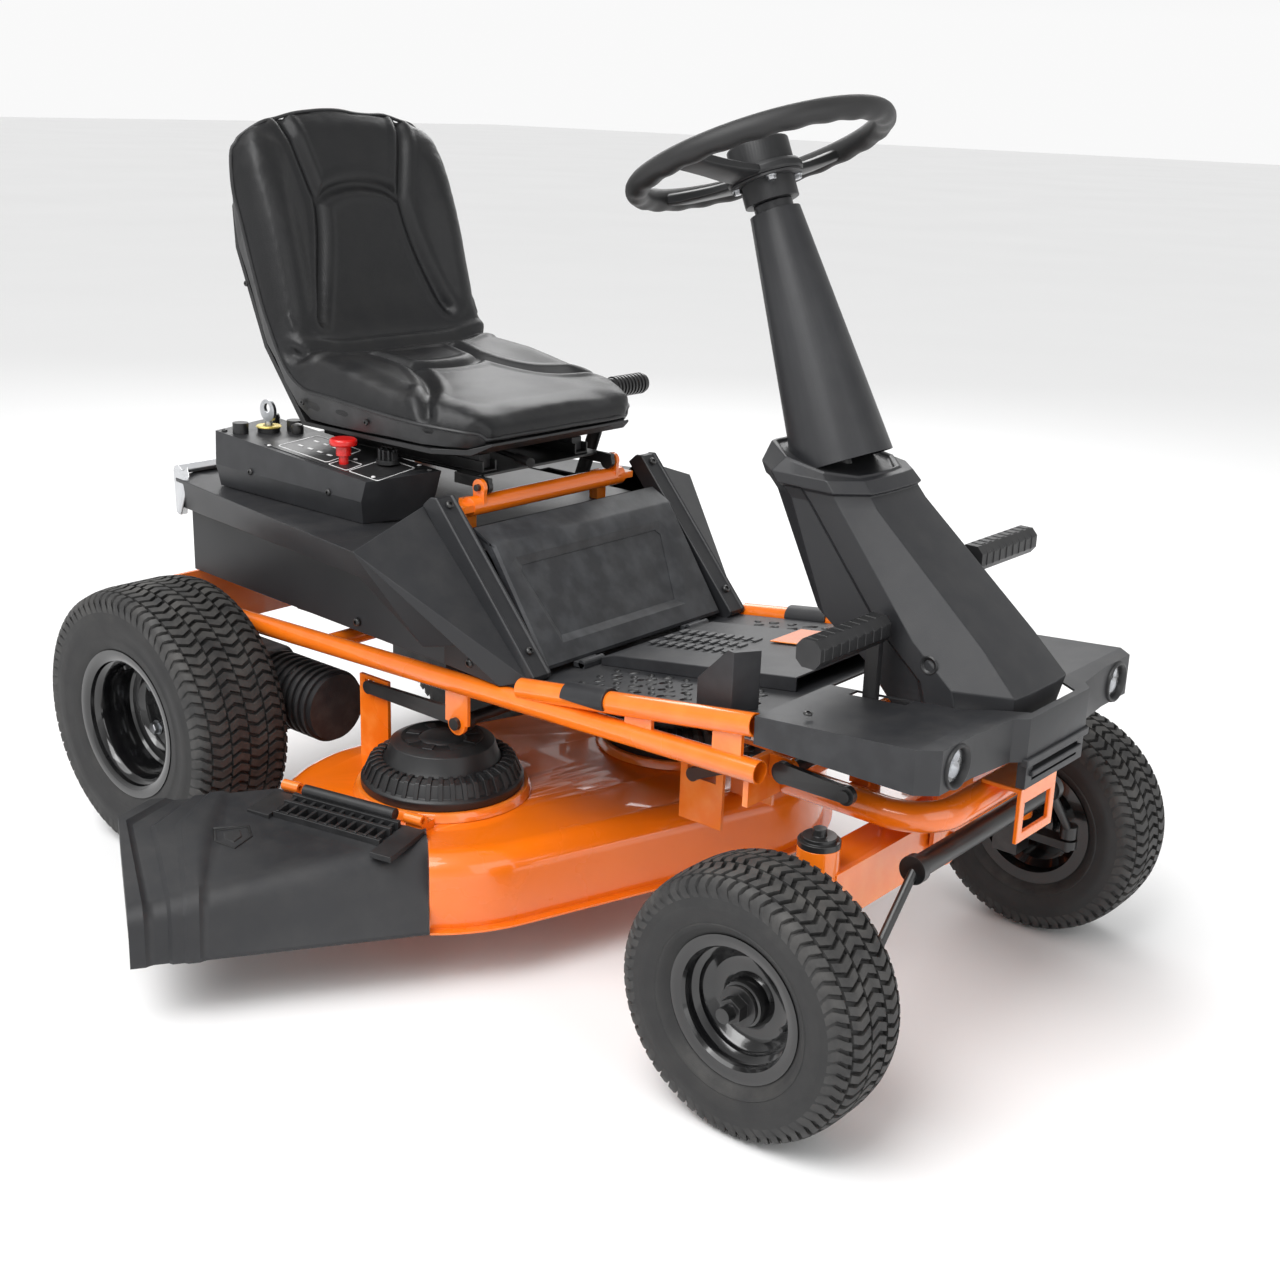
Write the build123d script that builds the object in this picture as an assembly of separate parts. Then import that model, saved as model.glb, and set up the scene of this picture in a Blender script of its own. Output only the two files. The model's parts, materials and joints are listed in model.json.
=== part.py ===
from build123d import *
import math
import os

# Battery-electric ride-on mower with a steering wheel, two rear drive motors and
# a two-blade side-discharge deck.  Millimetres.  While modelling, X is forward
# from the rear axle, Y is to the driver's left from the centre line and Z is up
# from the ground.  Every sub-part is moved once, on export, so that the origin
# is the centre of the footprint at ground level.

# ---------------------------------------------------------------- overall sizes
wheelbase = 1140.0
front_track = 713.0
rear_track = 725.0
front_tyre_dia = 330.0
front_tyre_width = 125.0
rear_tyre_dia = 418.0
rear_tyre_width = 166.0
front_x = 1325.0            # foremost point of the nose
chute_reach = 733.0         # furthest point of the discharge chute from the centre line

# ------------------------------------------------------------------- clearances
running_fit = 0.05          # radial play of a shaft in its bore
gap = 0.5                   # air between covers that only meet by eye
bare = 3.0                  # air round parts that pass each other

# ------------------------------------------------------------------ frame sizes
rail_dia = 30.0
rail_y = 250.0              # rail centre line from the middle of the machine
lower_rail_rear = Vector(-150, rail_y, 342)
lower_rail_front = Vector(1050, rail_y, 383)
upper_rail_rear = Vector(655, rail_y, 388)
upper_rail_front = Vector(1040, rail_y, 441)
clip_rear_x = 740.0         # moulded clips over the upper rails
clip_front_x = 812.0
tube_wall = 2.0
loop_dia = 38.0
loop_y = 165.0
loop_z = 345.0
loop_front_x = 1235.0
loop_bend = 60.0
plate = 6.0                 # thick brackets
sheet = 3.0                 # sheet steel
shell = 3.0                 # moulded plastic covers

# ------------------------------------------------------------------ front axle
kingpin_y = 250.0
kingpin_dia = 20.0
kingpin_tube_dia = 52.0
kingpin_tube_low = 200.0
kingpin_tube_high = 318.0
axle_low = 222.0
axle_high = 288.0
axle_half_depth = 28.0
axle_pivot_z = 255.0
axle_pivot_dia = 20.0
pivot_plate_gap = 4.0
spindle_dia = 19.0
steer_arm = 85.0            # steering arm length ahead of the kingpin
steer_arm_low = 175.0
steer_arm_thick = 12.0
tie_pin_dia = 10.0
tie_tube_dia = 28.0
tie_tube_z = 288.0
tie_tube_half = 165.0

# ----------------------------------------------------------------- front wheel
front_bead_r = 76.2
front_flange_r = 90.5
front_bead_half = 47.0
front_hub_dia = 56.0
front_hub_in = -34.0
front_hub_out = 34.0
front_disc_at = 8.0

# ------------------------------------------------------------------ rear wheel
rear_bead_r = 101.6
rear_flange_r = 117.0
rear_bead_half = 74.0
rear_hub_dia = 74.0
rear_hub_in = -46.0
rear_hub_out = 0.0
rear_disc_at = -8.0
rear_shaft_dia = 25.0
lug_circle = 100.0
lug_dia = 12.0
rim_wall = 3.0

# -------------------------------------------------------------------- steering
column_tilt = 23.1          # degrees back from upright
ring_centre = Vector(818, 0, 1079)
ring_r = 160.0
ring_tube_r = 15.5
column_top = -72.0          # along the column axis from the ring centre
column_low = -398.0
shaft_dia = 22.0
hub_low = -60.0

# ------------------------------------------------------------------------ seat
tilt_x = 465.0
tilt_z = 614.0
tilt_pin_dia = 10.0
tilt_ear_y = 131.0
hinge_bar_dia = 28.0
hinge_bar_z = 588.0
seat_half = 214.0
seat_top = 1117.0
slide_air = 0.3             # play of the seat runners in their rails
slide_lever_pivot = Vector(390, -40, 641)
slide_lever_pin = 8.0
strap_z = 650.0             # underside of the cross straps under the seat

# --------------------------------------------------------------------- deck
deck_r = 238.0
deck_rim = 13.0
deck_low = 80.0
deck_high = 185.0
deck_round = 34.0
deck_wall = 3.0
right_spindle = Vector(478, -228, 0)
left_spindle = Vector(600, 160, 0)
blade_len = 398.0
blade_width = 52.0
blade_z = 104.0
motor_dome_dia = 234.0
motor_dome_high = 268.0
chute_rear = Vector(330, -408, 0)
chute_front = Vector(583, -353, 0)
chute_hinge_z = 203.0
chute_pin_dia = 8.0
chute_wall = 4.0

# ------------------------------------------------------------------- body
body_rear = -110.0
body_floor = 392.0
deck_plate_z = 548.0
floor_z = 386.0
floor_rear_x = 160.0
floor_bend_x = 646.0
floor_front_x = 1022.0
floor_front_z = 437.0
floor_edge_gap = 5.0        # air between the floor pan and the rails
cover_bottom = Vector(652, 0, 396)
cover_top = Vector(521, 0, 584)
cover_half = 172.0
cover_hinge = Vector(662, 0, 398)
cover_hinge_y = 110.0
cover_pin_dia = 5.0
strip_y = 182.0
strip_wide = 34.0
strip_top = Vector(470, 0, 616)
strip_foot = Vector(664, 0, 398)
nose_floor_z = 420.0        # lower edge of the bumper's skirts
nose_top_z = 474.0
bumper_rear_x = 1043.0
bumper_half = 258.0
lamp_y = 203.0
lamp_z = 445.0
lamp_dia = 52.0
lamp_front_x = 1292.0
collar_z = 708.0

# ------------------------------------------------------------- control console
lid_high = 648.0
lid_inner_y = -140.0
lid_outer_y = -252.0
console_tuck = 34.0          # height of the tucked-in lower side
console_rear_x = 4.0
console_front_x = 384.0
console_floor_z = 554.0
key_at = (62, -196)
stop_at = (262, -218)
knob_at = (312, -178)
key_stem = 12.0
stop_stem = 14.0
knob_stem = 8.0

# ---------------------------------------------------------------------- pedals
pedal_x = 1110.0
pedal_arm_y = 112.0
pedal_pivot_x = 1112.0
pedal_pivot_z = 388.0
pedal_pin_dia = 10.0
pedal_ear = 5.0
pedal_outer_y = 255.0
right_pedal_z = 548.0
left_pedal_z = 594.0

# -------------------------------------------------------------- deck and lift
motor_seat_z = 197.0
spindle_boss_dia = 60.0
lift_pin_dia = 10.0
lift_shaft_dia = 18.0
rear_arm_y = 222.0
rear_lug_x = 324.0
rear_pin_z = 301.0
rear_pivot = Vector(529, 0, 304)
front_arm_y = 70.0
front_lug_y = 60.0
front_lug_x = 812.0
front_pin_z = 258.0
rear_slot_reach = 22.0      # how far each lug's slot runs forward of the pin
front_slot_reach = 34.0
front_pivot = Vector(1062, 0, 378)
hinge_spans = ((12, 40), (118, 146), (222, 250))    # deck barrels along the chute's hinge
chute_spans = ((44, 114), (150, 218))               # chute barrels between them

# --------------------------------------------------------------- height lever
lever_x = 300.0
lever_y = 225.0
lever_pivot_z = 480.0
lever_grip_z = 705.0
lever_shaft_dia = 16.0
lever_throw = 82.0          # how far forward the grip leans
lever_slot_reach = 132.0    # how far ahead of the pivot the cover slot runs


# ------------------------------------------------------------ geometry helpers
def box(x0, x1, y0, y1, z0, z1):
    """Block between two corners."""
    size = Box(x1 - x0, y1 - y0, z1 - z0, align=(Align.MIN, Align.MIN, Align.MIN))
    return Pos(x0, y0, z0) * size


def rod(start, end, dia):
    """Round bar between two points."""
    run = Vector(end) - Vector(start)
    base = Plane(origin=Vector(start), z_dir=run)
    return base * Cylinder(dia / 2, run.length, align=(Align.CENTER, Align.CENTER, Align.MIN))


def tube(start, end, dia, wall):
    """Open-ended round tube between two points."""
    return rod(start, end, dia) - rod(start, end, dia - 2 * wall)


def bent_rod(points, bend, dia):
    """Round bar along straight runs joined by arcs of one radius."""
    path = FilletPolyline(*points, radius=bend)
    return sweep(Plane(origin=path @ 0, z_dir=path % 0) * Circle(dia / 2), path)


def prism_xz(points, y0, y1):
    """Side-view outline given thickness across the machine."""
    face = make_face(Polyline(*[(x, 0, z) for x, z in points], close=True))
    return Pos(0, y0, 0) * extrude(face, amount=y1 - y0, dir=(0, 1, 0))


def prism_xy(points, z0, z1):
    """Plan outline given height."""
    face = make_face(Polyline(*[(x, y, 0) for x, y in points], close=True))
    return Pos(0, 0, z0) * extrude(face, amount=z1 - z0, dir=(0, 0, 1))


def prism_yz(points, x0, x1):
    """Front-view outline given length along the machine."""
    face = make_face(Polyline(*[(0, y, z) for y, z in points], close=True))
    return Pos(x0, 0, 0) * extrude(face, amount=x1 - x0, dir=(1, 0, 0))


def section(points):
    """One flat closed outline of 3D points, for a ruled shell."""
    return make_face(Polyline(*points, close=True))


def turned(profile):
    """Solid of revolution about the Y axis from (radius, y) points."""
    face = make_face(Polyline(*[(r, y, 0) for r, y in profile], close=True))
    return revolve(face, Axis.Y)


def left_of(shape):
    """Mirror image on the other side of the centre line."""
    return mirror(shape, Plane.XZ)


def both_sides(shape):
    """The given right-hand piece and its left-hand twin."""
    return Compound([shape, left_of(shape)])


def group(*shapes):
    """Separate solids that share one node."""
    solids = []
    for shape in shapes:
        solids.extend(shape.solids())
    return Compound(solids)


# ---------------------------------------------------------------------- wheels
def tyre(dia, width, bead_r, flange_r, bead_half):
    """Hollow turf tyre on the Y axis: bead, bulging wall, square shoulder, flat crown."""
    r = dia / 2
    half = width / 2
    rubber = 9.0
    outer = [
        (bead_r, bead_half - 1),
        (flange_r + 3, bead_half - 1),
        (flange_r + 0.35 * (r - flange_r), half - 1),
        (flange_r + 0.55 * (r - flange_r), half),
        (r - 20, half - 1),
        (r - 7, half - 8),
        (r - 2, half - 24),
        (r, half - 42),
    ]
    inner = [
        (r - rubber - 6, half - 42),
        (r - rubber - 8, half - 26),
        (flange_r + 0.5 * (r - flange_r), half - rubber),
        (flange_r + 4, bead_half - rubber - 2),
        (bead_r, bead_half - rubber - 4),
    ]
    upper = outer + [(r, 0), (r - rubber - 6, 0)] + inner
    right = turned(upper)
    return right + mirror(right, Plane.XZ)


def rim(bead_r, flange_r, bead_half, hub_dia, hub_in, hub_out, bore, disc_at):
    """Pressed steel rim on the Y axis, outboard towards +Y, with a stepped face and a hub."""
    well_r = bead_r - 11
    wall = rim_wall
    lip = bead_half + wall
    seat = bead_half - 17
    barrel = turned([
        (bead_r, -lip), (flange_r, -lip), (flange_r, -bead_half), (bead_r, -bead_half),
        (bead_r, -seat), (well_r, -seat + 9), (well_r, seat - 9), (bead_r, seat),
        (bead_r, bead_half), (flange_r, bead_half), (flange_r, lip), (bead_r - wall, lip),
        (bead_r - wall, seat), (well_r - wall, seat - 9), (well_r - wall, -seat + 9),
        (bead_r - wall, -seat), (bead_r - wall, -lip),
    ])
    step = well_r - 0.35 * (well_r - hub_dia / 2)
    disc = turned([
        (hub_dia / 2 - 1, disc_at), (step, disc_at), (step + 5, disc_at + 9),
        (well_r - wall, disc_at + 9), (well_r - wall, disc_at + 9 + wall),
        (step + 3, disc_at + 9 + wall), (step - 2, disc_at + wall), (hub_dia / 2 - 1, disc_at + wall),
    ])
    hub = turned([(bore, hub_in), (hub_dia / 2, hub_in), (hub_dia / 2, hub_out), (bore, hub_out)])
    return barrel + disc + hub


def front_wheel(side):
    """Tyre and rim of one front wheel; side is +1 left, -1 right."""
    place = Pos(wheelbase, side * front_track / 2, front_tyre_dia / 2)
    bore = spindle_dia / 2 + running_fit
    rubber = tyre(front_tyre_dia, front_tyre_width, front_bead_r, front_flange_r, front_bead_half)
    steel = rim(front_bead_r, front_flange_r, front_bead_half, front_hub_dia,
                front_hub_in, front_hub_out, bore, front_disc_at)
    if side < 0:
        steel = mirror(steel, Plane.XZ)
    return place * rubber, place * steel


def rear_wheel(side):
    """Tyre and rim of one rear wheel, with four lug bolts on the hub face."""
    place = Pos(0, side * rear_track / 2, rear_tyre_dia / 2)
    bore = rear_shaft_dia / 2 + running_fit
    rubber = tyre(rear_tyre_dia, rear_tyre_width, rear_bead_r, rear_flange_r, rear_bead_half)
    steel = rim(rear_bead_r, rear_flange_r, rear_bead_half, rear_hub_dia,
                rear_hub_in, rear_hub_out, bore, rear_disc_at)
    face = rear_disc_at + rim_wall
    lug = Cylinder(lug_dia / 2 + 3, 10, rotation=(90, 0, 0), align=(Align.CENTER, Align.CENTER, Align.CENTER))
    for turn in range(4):
        angle = math.radians(45 + 90 * turn)
        spot = Pos(lug_circle / 2 * math.cos(angle), face + 4, lug_circle / 2 * math.sin(angle))
        steel = steel + spot * lug
    if side < 0:
        steel = mirror(steel, Plane.XZ)
    return place * rubber, place * steel


# ----------------------------------------------------------------------- frame
def rail(start, end, side):
    """One straight frame tube; side is +1 left, -1 right."""
    return tube((start.X, side * start.Y, start.Z), (end.X, side * end.Y, end.Z), rail_dia, tube_wall)


def rail_core(start, end, side):
    """The space a rail fills, closed, for notching what is welded to it."""
    return rod((start.X, side * start.Y, start.Z), (end.X, side * end.Y, end.Z), rail_dia)


def rail_height(x, start, end):
    """Centre height of a rail at one station."""
    return start.Z + (end.Z - start.Z) * (x - start.X) / (end.X - start.X)


def frame_rails():
    rails = []
    for side in (-1, 1):
        rails.append(rail(lower_rail_rear, lower_rail_front, side))
        upper = rail(upper_rail_rear, upper_rail_front, side)
        upper = upper - rail_core(lower_rail_rear, lower_rail_front, side)
        rails.append(upper.solids().sort_by(SortBy.VOLUME)[-1])
    return group(*rails)


def all_rail_cores():
    cores = []
    for side in (-1, 1):
        cores.append(rail_core(lower_rail_rear, lower_rail_front, side))
        cores.append(rail_core(upper_rail_rear, upper_rail_front, side))
    return cores


def notched(member):
    """The piece of a member that is left between the rails it is welded to."""
    for core in all_rail_cores():
        member = (member - core).solids().sort_by(SortBy.VOLUME)[-1]
    return member


def cross_members():
    """Plates and tubes welded across and between the four rails."""
    rear_z = rail_height(-120, lower_rail_rear, lower_rail_front)
    front_z = rail_height(1030, lower_rail_rear, lower_rail_front)
    members = [
        box(-130, -124, -rail_y, rail_y, rear_z - 60, rear_z + 40),
        rod((250, -rail_y, rail_height(250, lower_rail_rear, lower_rail_front)),
            (250, rail_y, rail_height(250, lower_rail_rear, lower_rail_front)), rail_dia - 4),
        rod((700, -rail_y, rail_height(700, lower_rail_rear, lower_rail_front)),
            (700, rail_y, rail_height(700, lower_rail_rear, lower_rail_front)), rail_dia - 4),
        box(1026, 1034, -rail_y, rail_y, front_z - 50, front_z + 10),
    ]
    for y in (-front_arm_y, front_arm_y):
        members[-1] = members[-1] - box(1020, 1040, y - 10, y + 10, 338, 384)
    for side in (-1, 1):
        for x in (860, 1000):
            low = rail_height(x, lower_rail_rear, lower_rail_front)
            high = rail_height(x, upper_rail_rear, upper_rail_front)
            outer = side * (rail_y + 3)
            inner = side * (rail_y - 3)
            members.append(box(x - 22, x + 22, min(outer, inner), max(outer, inner), low, high))
    return group(*[notched(member) for member in members])


def front_loop():
    """Bent tube round the nose that carries the axle pivot, its web and two ears."""
    back = 1034.0
    corner = loop_front_x
    points = [(back, -loop_y, loop_z), (corner, -loop_y, loop_z), (corner, loop_y, loop_z), (back, loop_y, loop_z)]
    skin = bent_rod(points, loop_bend, loop_dia) - bent_rod(points, loop_bend, loop_dia - 2 * tube_wall)
    ear_back = wheelbase - axle_half_depth - pivot_plate_gap
    ear_front = wheelbase + axle_half_depth + pivot_plate_gap
    web_half = loop_y - loop_dia / 2 + 2
    web = box(ear_back - plate, ear_front + plate, -web_half, web_half, loop_z - 5, loop_z + 5)
    ears = web
    for low, high in ((ear_back - plate, ear_back), (ear_front, ear_front + plate)):
        ears = ears + box(low, high, -45, 45, axle_pivot_z, loop_z)
        ears = ears + rod((low, 0, axle_pivot_z), (high, 0, axle_pivot_z), 70)
    ears = ears - bent_rod(points, loop_bend, loop_dia - 2)
    pin = rod((ear_back - plate - 4, 0, axle_pivot_z), (ear_front + plate + 4, 0, axle_pivot_z), axle_pivot_dia)
    return skin + ears + pin


def tow_bracket():
    """Flat-bar loop under the nose: a flange on the front tube and a slotted face."""
    face_x = 1284.0
    half = 46.0
    top = loop_z + loop_dia / 2
    flange = box(loop_front_x, face_x, -half, half, top, top + plate)
    face = box(face_x, face_x + plate, -half, half, 298, top + plate)
    window = box(face_x - 1, face_x + plate + 1, -half + 13, half - 13, 311, 349)
    return flange + face - window


def rear_hitch():
    """Plate behind the rear cross member with a hole for a trailer pin."""
    rear_z = rail_height(-120, lower_rail_rear, lower_rail_front)
    foot = box(-136, -130, -70, 70, rear_z - 60, rear_z + 20)
    tongue = box(-200, -130, -45, 45, rear_z - 60, rear_z - 52)
    hole = rod((-175, 0, rear_z - 70), (-175, 0, rear_z - 40), 16)
    return foot + tongue - hole


def drive_motors():
    """Gearbox, hanger, output shaft and finned motor of each rear wheel."""
    axle_z = rear_tyre_dia / 2
    inner_face = rear_track / 2 - rear_tyre_width / 2
    case_out = inner_face - 14
    rail_mid = rail_height(0, lower_rail_rear, lower_rail_front)
    shaft_end = rear_track / 2 + rear_hub_out - 1
    case = box(-70, 70, -case_out, -case_out + 100, axle_z - 66, axle_z + 76)
    case = fillet(case.edges().filter_by(Axis.Y), 22)
    hanger = notched(box(-40, 40, -case_out, -case_out + 12, axle_z + 70, rail_mid))
    shaft = rod((0, -case_out, axle_z), (0, -shaft_end, axle_z), rear_shaft_dia)
    motor_y = -case_out + 52
    motor_z = axle_z + 30
    unit = case + hanger + shaft + rod((68, motor_y, motor_z), (228, motor_y, motor_z), 104)
    for x in range(84, 220, 16):
        unit = unit + rod((x, motor_y, motor_z), (x + 6, motor_y, motor_z), 114)
    return both_sides(unit)


# ------------------------------------------------------------------ front axle
def axle_beam():
    """Box beam between two upright kingpin tubes, bored for the rocking pivot."""
    side = axle_half_depth
    beam = box(wheelbase - side, wheelbase + side, -kingpin_y, kingpin_y, axle_low, axle_high)
    for y in (-kingpin_y, kingpin_y):
        beam = beam + rod((wheelbase, y, kingpin_tube_low), (wheelbase, y, kingpin_tube_high), kingpin_tube_dia)
        beam = beam - rod((wheelbase, y, kingpin_tube_low - 1), (wheelbase, y, kingpin_tube_high + 1),
                          kingpin_dia + 2 * running_fit)
    pivot = axle_pivot_dia + 2 * running_fit
    return beam - rod((wheelbase - side - 1, 0, axle_pivot_z), (wheelbase + side + 1, 0, axle_pivot_z), pivot)


def kingpin_caps():
    """Domed cap and bolt head that close the top of each kingpin tube."""
    foot = Vector(wheelbase, -kingpin_y, kingpin_tube_high)
    cap = rod(foot, foot + Vector(0, 0, 8), kingpin_tube_dia)
    cap = cap + rod(foot + Vector(0, 0, 8), foot + Vector(0, 0, 13), kingpin_tube_dia - 10)
    cap = cap + rod(foot + Vector(0, 0, 13), foot + Vector(0, 0, 22), 17)
    return both_sides(cap)


def knuckle(side):
    """Kingpin, block, steering arm and wheel spindle with its washers and nut."""
    y = -kingpin_y
    axle_z = front_tyre_dia / 2
    block_top = kingpin_tube_low - bare
    pin = rod((wheelbase, y, block_top - 5), (wheelbase, y, kingpin_tube_high - 2), kingpin_dia)
    block = box(wheelbase - 19, wheelbase + 19, y - 19, y + 19, axle_z - 18, block_top)
    arm_end = wheelbase + steer_arm
    arm_high = steer_arm_low + steer_arm_thick
    arm = box(wheelbase, arm_end, y - 13, y + 13, steer_arm_low, arm_high)
    arm = arm + rod((arm_end, y, steer_arm_low), (arm_end, y, arm_high), 26)
    arm = arm - rod((arm_end, y, steer_arm_low - 1), (arm_end, y, arm_high + 1), tie_pin_dia + 2 * running_fit)
    hub_face = front_track / 2 + front_hub_out
    spindle = rod((wheelbase, y, axle_z), (wheelbase, -hub_face - 34, axle_z), spindle_dia)
    inner_stop = -(front_track / 2 + front_hub_in) + 1
    collar = rod((wheelbase, y - 10, axle_z), (wheelbase, inner_stop, axle_z), spindle_dia + 12)
    washer = rod((wheelbase, -hub_face - 1, axle_z), (wheelbase, -hub_face - 5, axle_z), 50)
    nut_seat = Plane(origin=(wheelbase, -hub_face - 5, axle_z), z_dir=(0, -1, 0))
    nut = nut_seat * extrude(RegularPolygon(16, 6), amount=15)
    piece = block + pin + arm + spindle + collar + washer + nut
    return piece if side < 0 else left_of(piece)


def tie_rod():
    """Cross tube with a cranked end and a pin down through each steering arm."""
    x = wheelbase + steer_arm
    top = steer_arm_low + steer_arm_thick + bare
    body = rod((x, -tie_tube_half, tie_tube_z), (x, tie_tube_half, tie_tube_z), tie_tube_dia)
    for side in (-1, 1):
        end = side * tie_tube_half
        pin_y = side * kingpin_y
        body = body + rod((x, end, tie_tube_z), (x, end + side * 12, tie_tube_z), tie_tube_dia + 8)
        body = body + rod((x, end + side * 6, tie_tube_z), (x, pin_y, top + 10), 12)
        body = body + rod((x, pin_y, top), (x, pin_y, top + 18), 24)
        body = body + rod((x, pin_y, steer_arm_low - 6), (x, pin_y, top + 5), tie_pin_dia)
    return body


# -------------------------------------------------------------------- steering
def on_column(shape):
    """Moves a shape made about Z on to the raked steering axis, wheel rim at zero."""
    rake = math.radians(column_tilt)
    frame = Plane(origin=ring_centre, x_dir=(math.cos(rake), 0, math.sin(rake)),
                  z_dir=(-math.sin(rake), 0, math.cos(rake)))
    return frame * shape


def upright(dia, low, high):
    """Round bar on Z between two heights."""
    return Pos(0, 0, low) * Cylinder(dia / 2, high - low, align=(Align.CENTER, Align.CENTER, Align.MIN))


def steering_wheel():
    """Rim, three spokes and the plate that bolts to the hub."""
    ring = Torus(ring_r, ring_tube_r)
    plate_low = -30.0
    wheel = ring + (upright(96, plate_low, plate_low + 8) - upright(24, plate_low - 1, plate_low + 9))
    for angle in (-90, 90, 180):
        arm = prism_xz([(34, plate_low), (34, plate_low + 8), (42, plate_low + 8), (ring_r - 6, 6),
                        (ring_r - 2, -6)], -21, 21)
        wheel = wheel + Rot(0, 0, angle) * arm
    return on_column(wheel)


def steering_hub():
    """Domed cap over the spokes, clamp boss under them and the shaft down the column."""
    plate_low = -30.0
    cap = upright(80, plate_low + 8, plate_low + 46)
    cap = fillet(cap.edges().sort_by(Axis.Z)[-1], 4)
    boss = upright(70, hub_low, plate_low)
    shaft = upright(shaft_dia, column_low - 20, plate_low + 9)
    return on_column(cap + boss + shaft)


def column_cover():
    """Tapered column tube with a bush at each end for the shaft."""
    low_r = 65.0
    top_r = 32.5
    length = column_top - column_low
    cone = Pos(0, 0, column_low) * Cone(low_r, top_r, length, align=(Align.CENTER, Align.CENTER, Align.MIN))
    inner = Pos(0, 0, column_low) * Cone(low_r - shell, top_r - shell, length,
                                         align=(Align.CENTER, Align.CENTER, Align.MIN))
    web_low = upright(2 * low_r - 2 * shell - 1, column_low + 10, column_low + 20)
    web_high = upright(2 * top_r - 2 * shell + 1, column_top - 12, column_top)
    collar = upright(50, column_top, hub_low - 1)
    solid = cone - inner + (web_low & cone) + (web_high & cone) + collar
    return on_column(solid - upright(shaft_dia + 2 * running_fit, column_low - 1, hub_low))


# --------------------------------------------------------------- nose and bumper
nose_levels = {
    735: ((888, 45), (940, 82), (1000, 82), (1032, 50)),
    708: ((884, 50), (930, 92), (1010, 90), (1042, 54)),
    675: ((905, 45), (950, 82), (1030, 86), (1066, 56)),
    535: ((985, 55), (1010, 82), (1150, 92), (1230, 62)),
    488: ((1060, 60), (1085, 88), (1210, 96), (1278, 66)),
    440: ((1105, 60), (1130, 90), (1225, 96), (front_x - 34, 50)),
}


def nose_section(level, inset, seam, stretch=0.0):
    """Right half of one horizontal slice through the nose, shrunk by inset."""
    rear, rear_side, front_side, front = nose_levels[level]
    z = level + stretch
    return section([
        (rear[0] + inset, -seam, z),
        (rear[0] + inset, -rear[1] + inset / 2, z),
        (rear_side[0] + inset / 2, -rear_side[1] + inset, z),
        (front_side[0], -front_side[1] + inset, z),
        (front[0] - inset, -front[1] + inset / 2, z),
        (front[0] - inset, -seam, z),
    ])


def shroud_half(side):
    """One half of the steering shroud, open below and where the column enters."""
    levels = sorted(nose_levels)
    skin = loft([nose_section(z, 0, gap / 2) for z in levels], ruled=True)
    inside = []
    for z in levels:
        stretch = -1.0 if z == levels[0] else (1.0 if z == levels[-1] else 0.0)
        inside.append(nose_section(z, shell, -2, stretch))
    half = skin - loft(inside, ruled=True)
    column = upright(2 * 65.0 + 8, column_low - 60, column_top)
    half = half - on_column(column)
    port = rod((1175, -60, 512), (1175, -140, 512), 20)
    half = half - port
    return half if side < 0 else left_of(half)


bumper_plan = (
    (bumper_rear_x, bumper_half), (1262, bumper_half), (1284, bumper_half - 20), (1284, 168), (1292, 92), (1306, 76),
)


def plan_outline(inset):
    """Closed plan outline of the bumper, shrunk by inset."""
    right = [(x - (inset if x > 1100 else -inset), -(y - inset)) for x, y in bumper_plan]
    return right + [(x, -y) for x, y in reversed(right)]


def bumper_cover():
    """Front cover: a flat-topped shell with side skirts and a slotted centre panel."""
    low = nose_floor_z
    high = nose_top_z
    outer = prism_xy(plan_outline(0), low, high)
    inner = prism_xy(plan_outline(shell + 1), low - 1, high - shell)
    slope = prism_xz([(1000, 452), (1262, high), (1330, high), (1330, high + 20), (1000, high + 20)], -300, 300)
    under = prism_xz([(1000, 452 - shell), (1262, high - shell), (1330, high - shell), (1330, 470), (1262, 470),
                      (1000, high)], -300, 300)
    cover = outer - slope - inner
    top = outer & prism_xz([(1000, 452 - shell), (1262, high - shell), (1330, high - shell), (1330, high),
                            (1262, high), (1000, 452)], -300, 300)
    cover = cover + top
    panel = box(1294, 1306, -74, 74, 384, low + 2)
    for z in (392, 404):
        panel = panel - box(1300, 1310, -58, 58, z, z + 6)
    cover = cover + panel
    opening = prism_xy([(bumper_rear_x - 10, -101), (1228, -101), (1296, -56), (1296, 56), (1228, 101),
                        (bumper_rear_x - 10, 101)], 400, 500)
    cover = cover - opening
    for side in (-1, 1):
        y0, y1 = sorted((side * (pedal_arm_y - 10), side * (pedal_arm_y + 10)))
        cover = cover - box(1085, 1165, y0, y1, 440, 500)
        cover = cover - rod((1270, side * lamp_y, lamp_z), (1300, side * lamp_y, lamp_z), lamp_dia + 1)
    return cover


def headlight_bezels():
    """Round lamp cups that stand out of the bumper's front face."""
    back = lamp_front_x - 30
    cup = rod((back, -lamp_y, lamp_z), (lamp_front_x, -lamp_y, lamp_z), lamp_dia)
    cup = cup - rod((back + 6, -lamp_y, lamp_z), (lamp_front_x + 1, -lamp_y, lamp_z), lamp_dia - 8)
    return both_sides(cup)


def light_lenses():
    """Clear faces of the two headlights and the two rear corner lights."""
    lamp = rod((lamp_front_x - 24, -lamp_y, lamp_z), (lamp_front_x - 8, -lamp_y, lamp_z), lamp_dia - 8.2)
    rear = box(body_rear - 6, body_rear, -240, -214, 500, 546)
    return group(both_sides(lamp), both_sides(rear))


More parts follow.
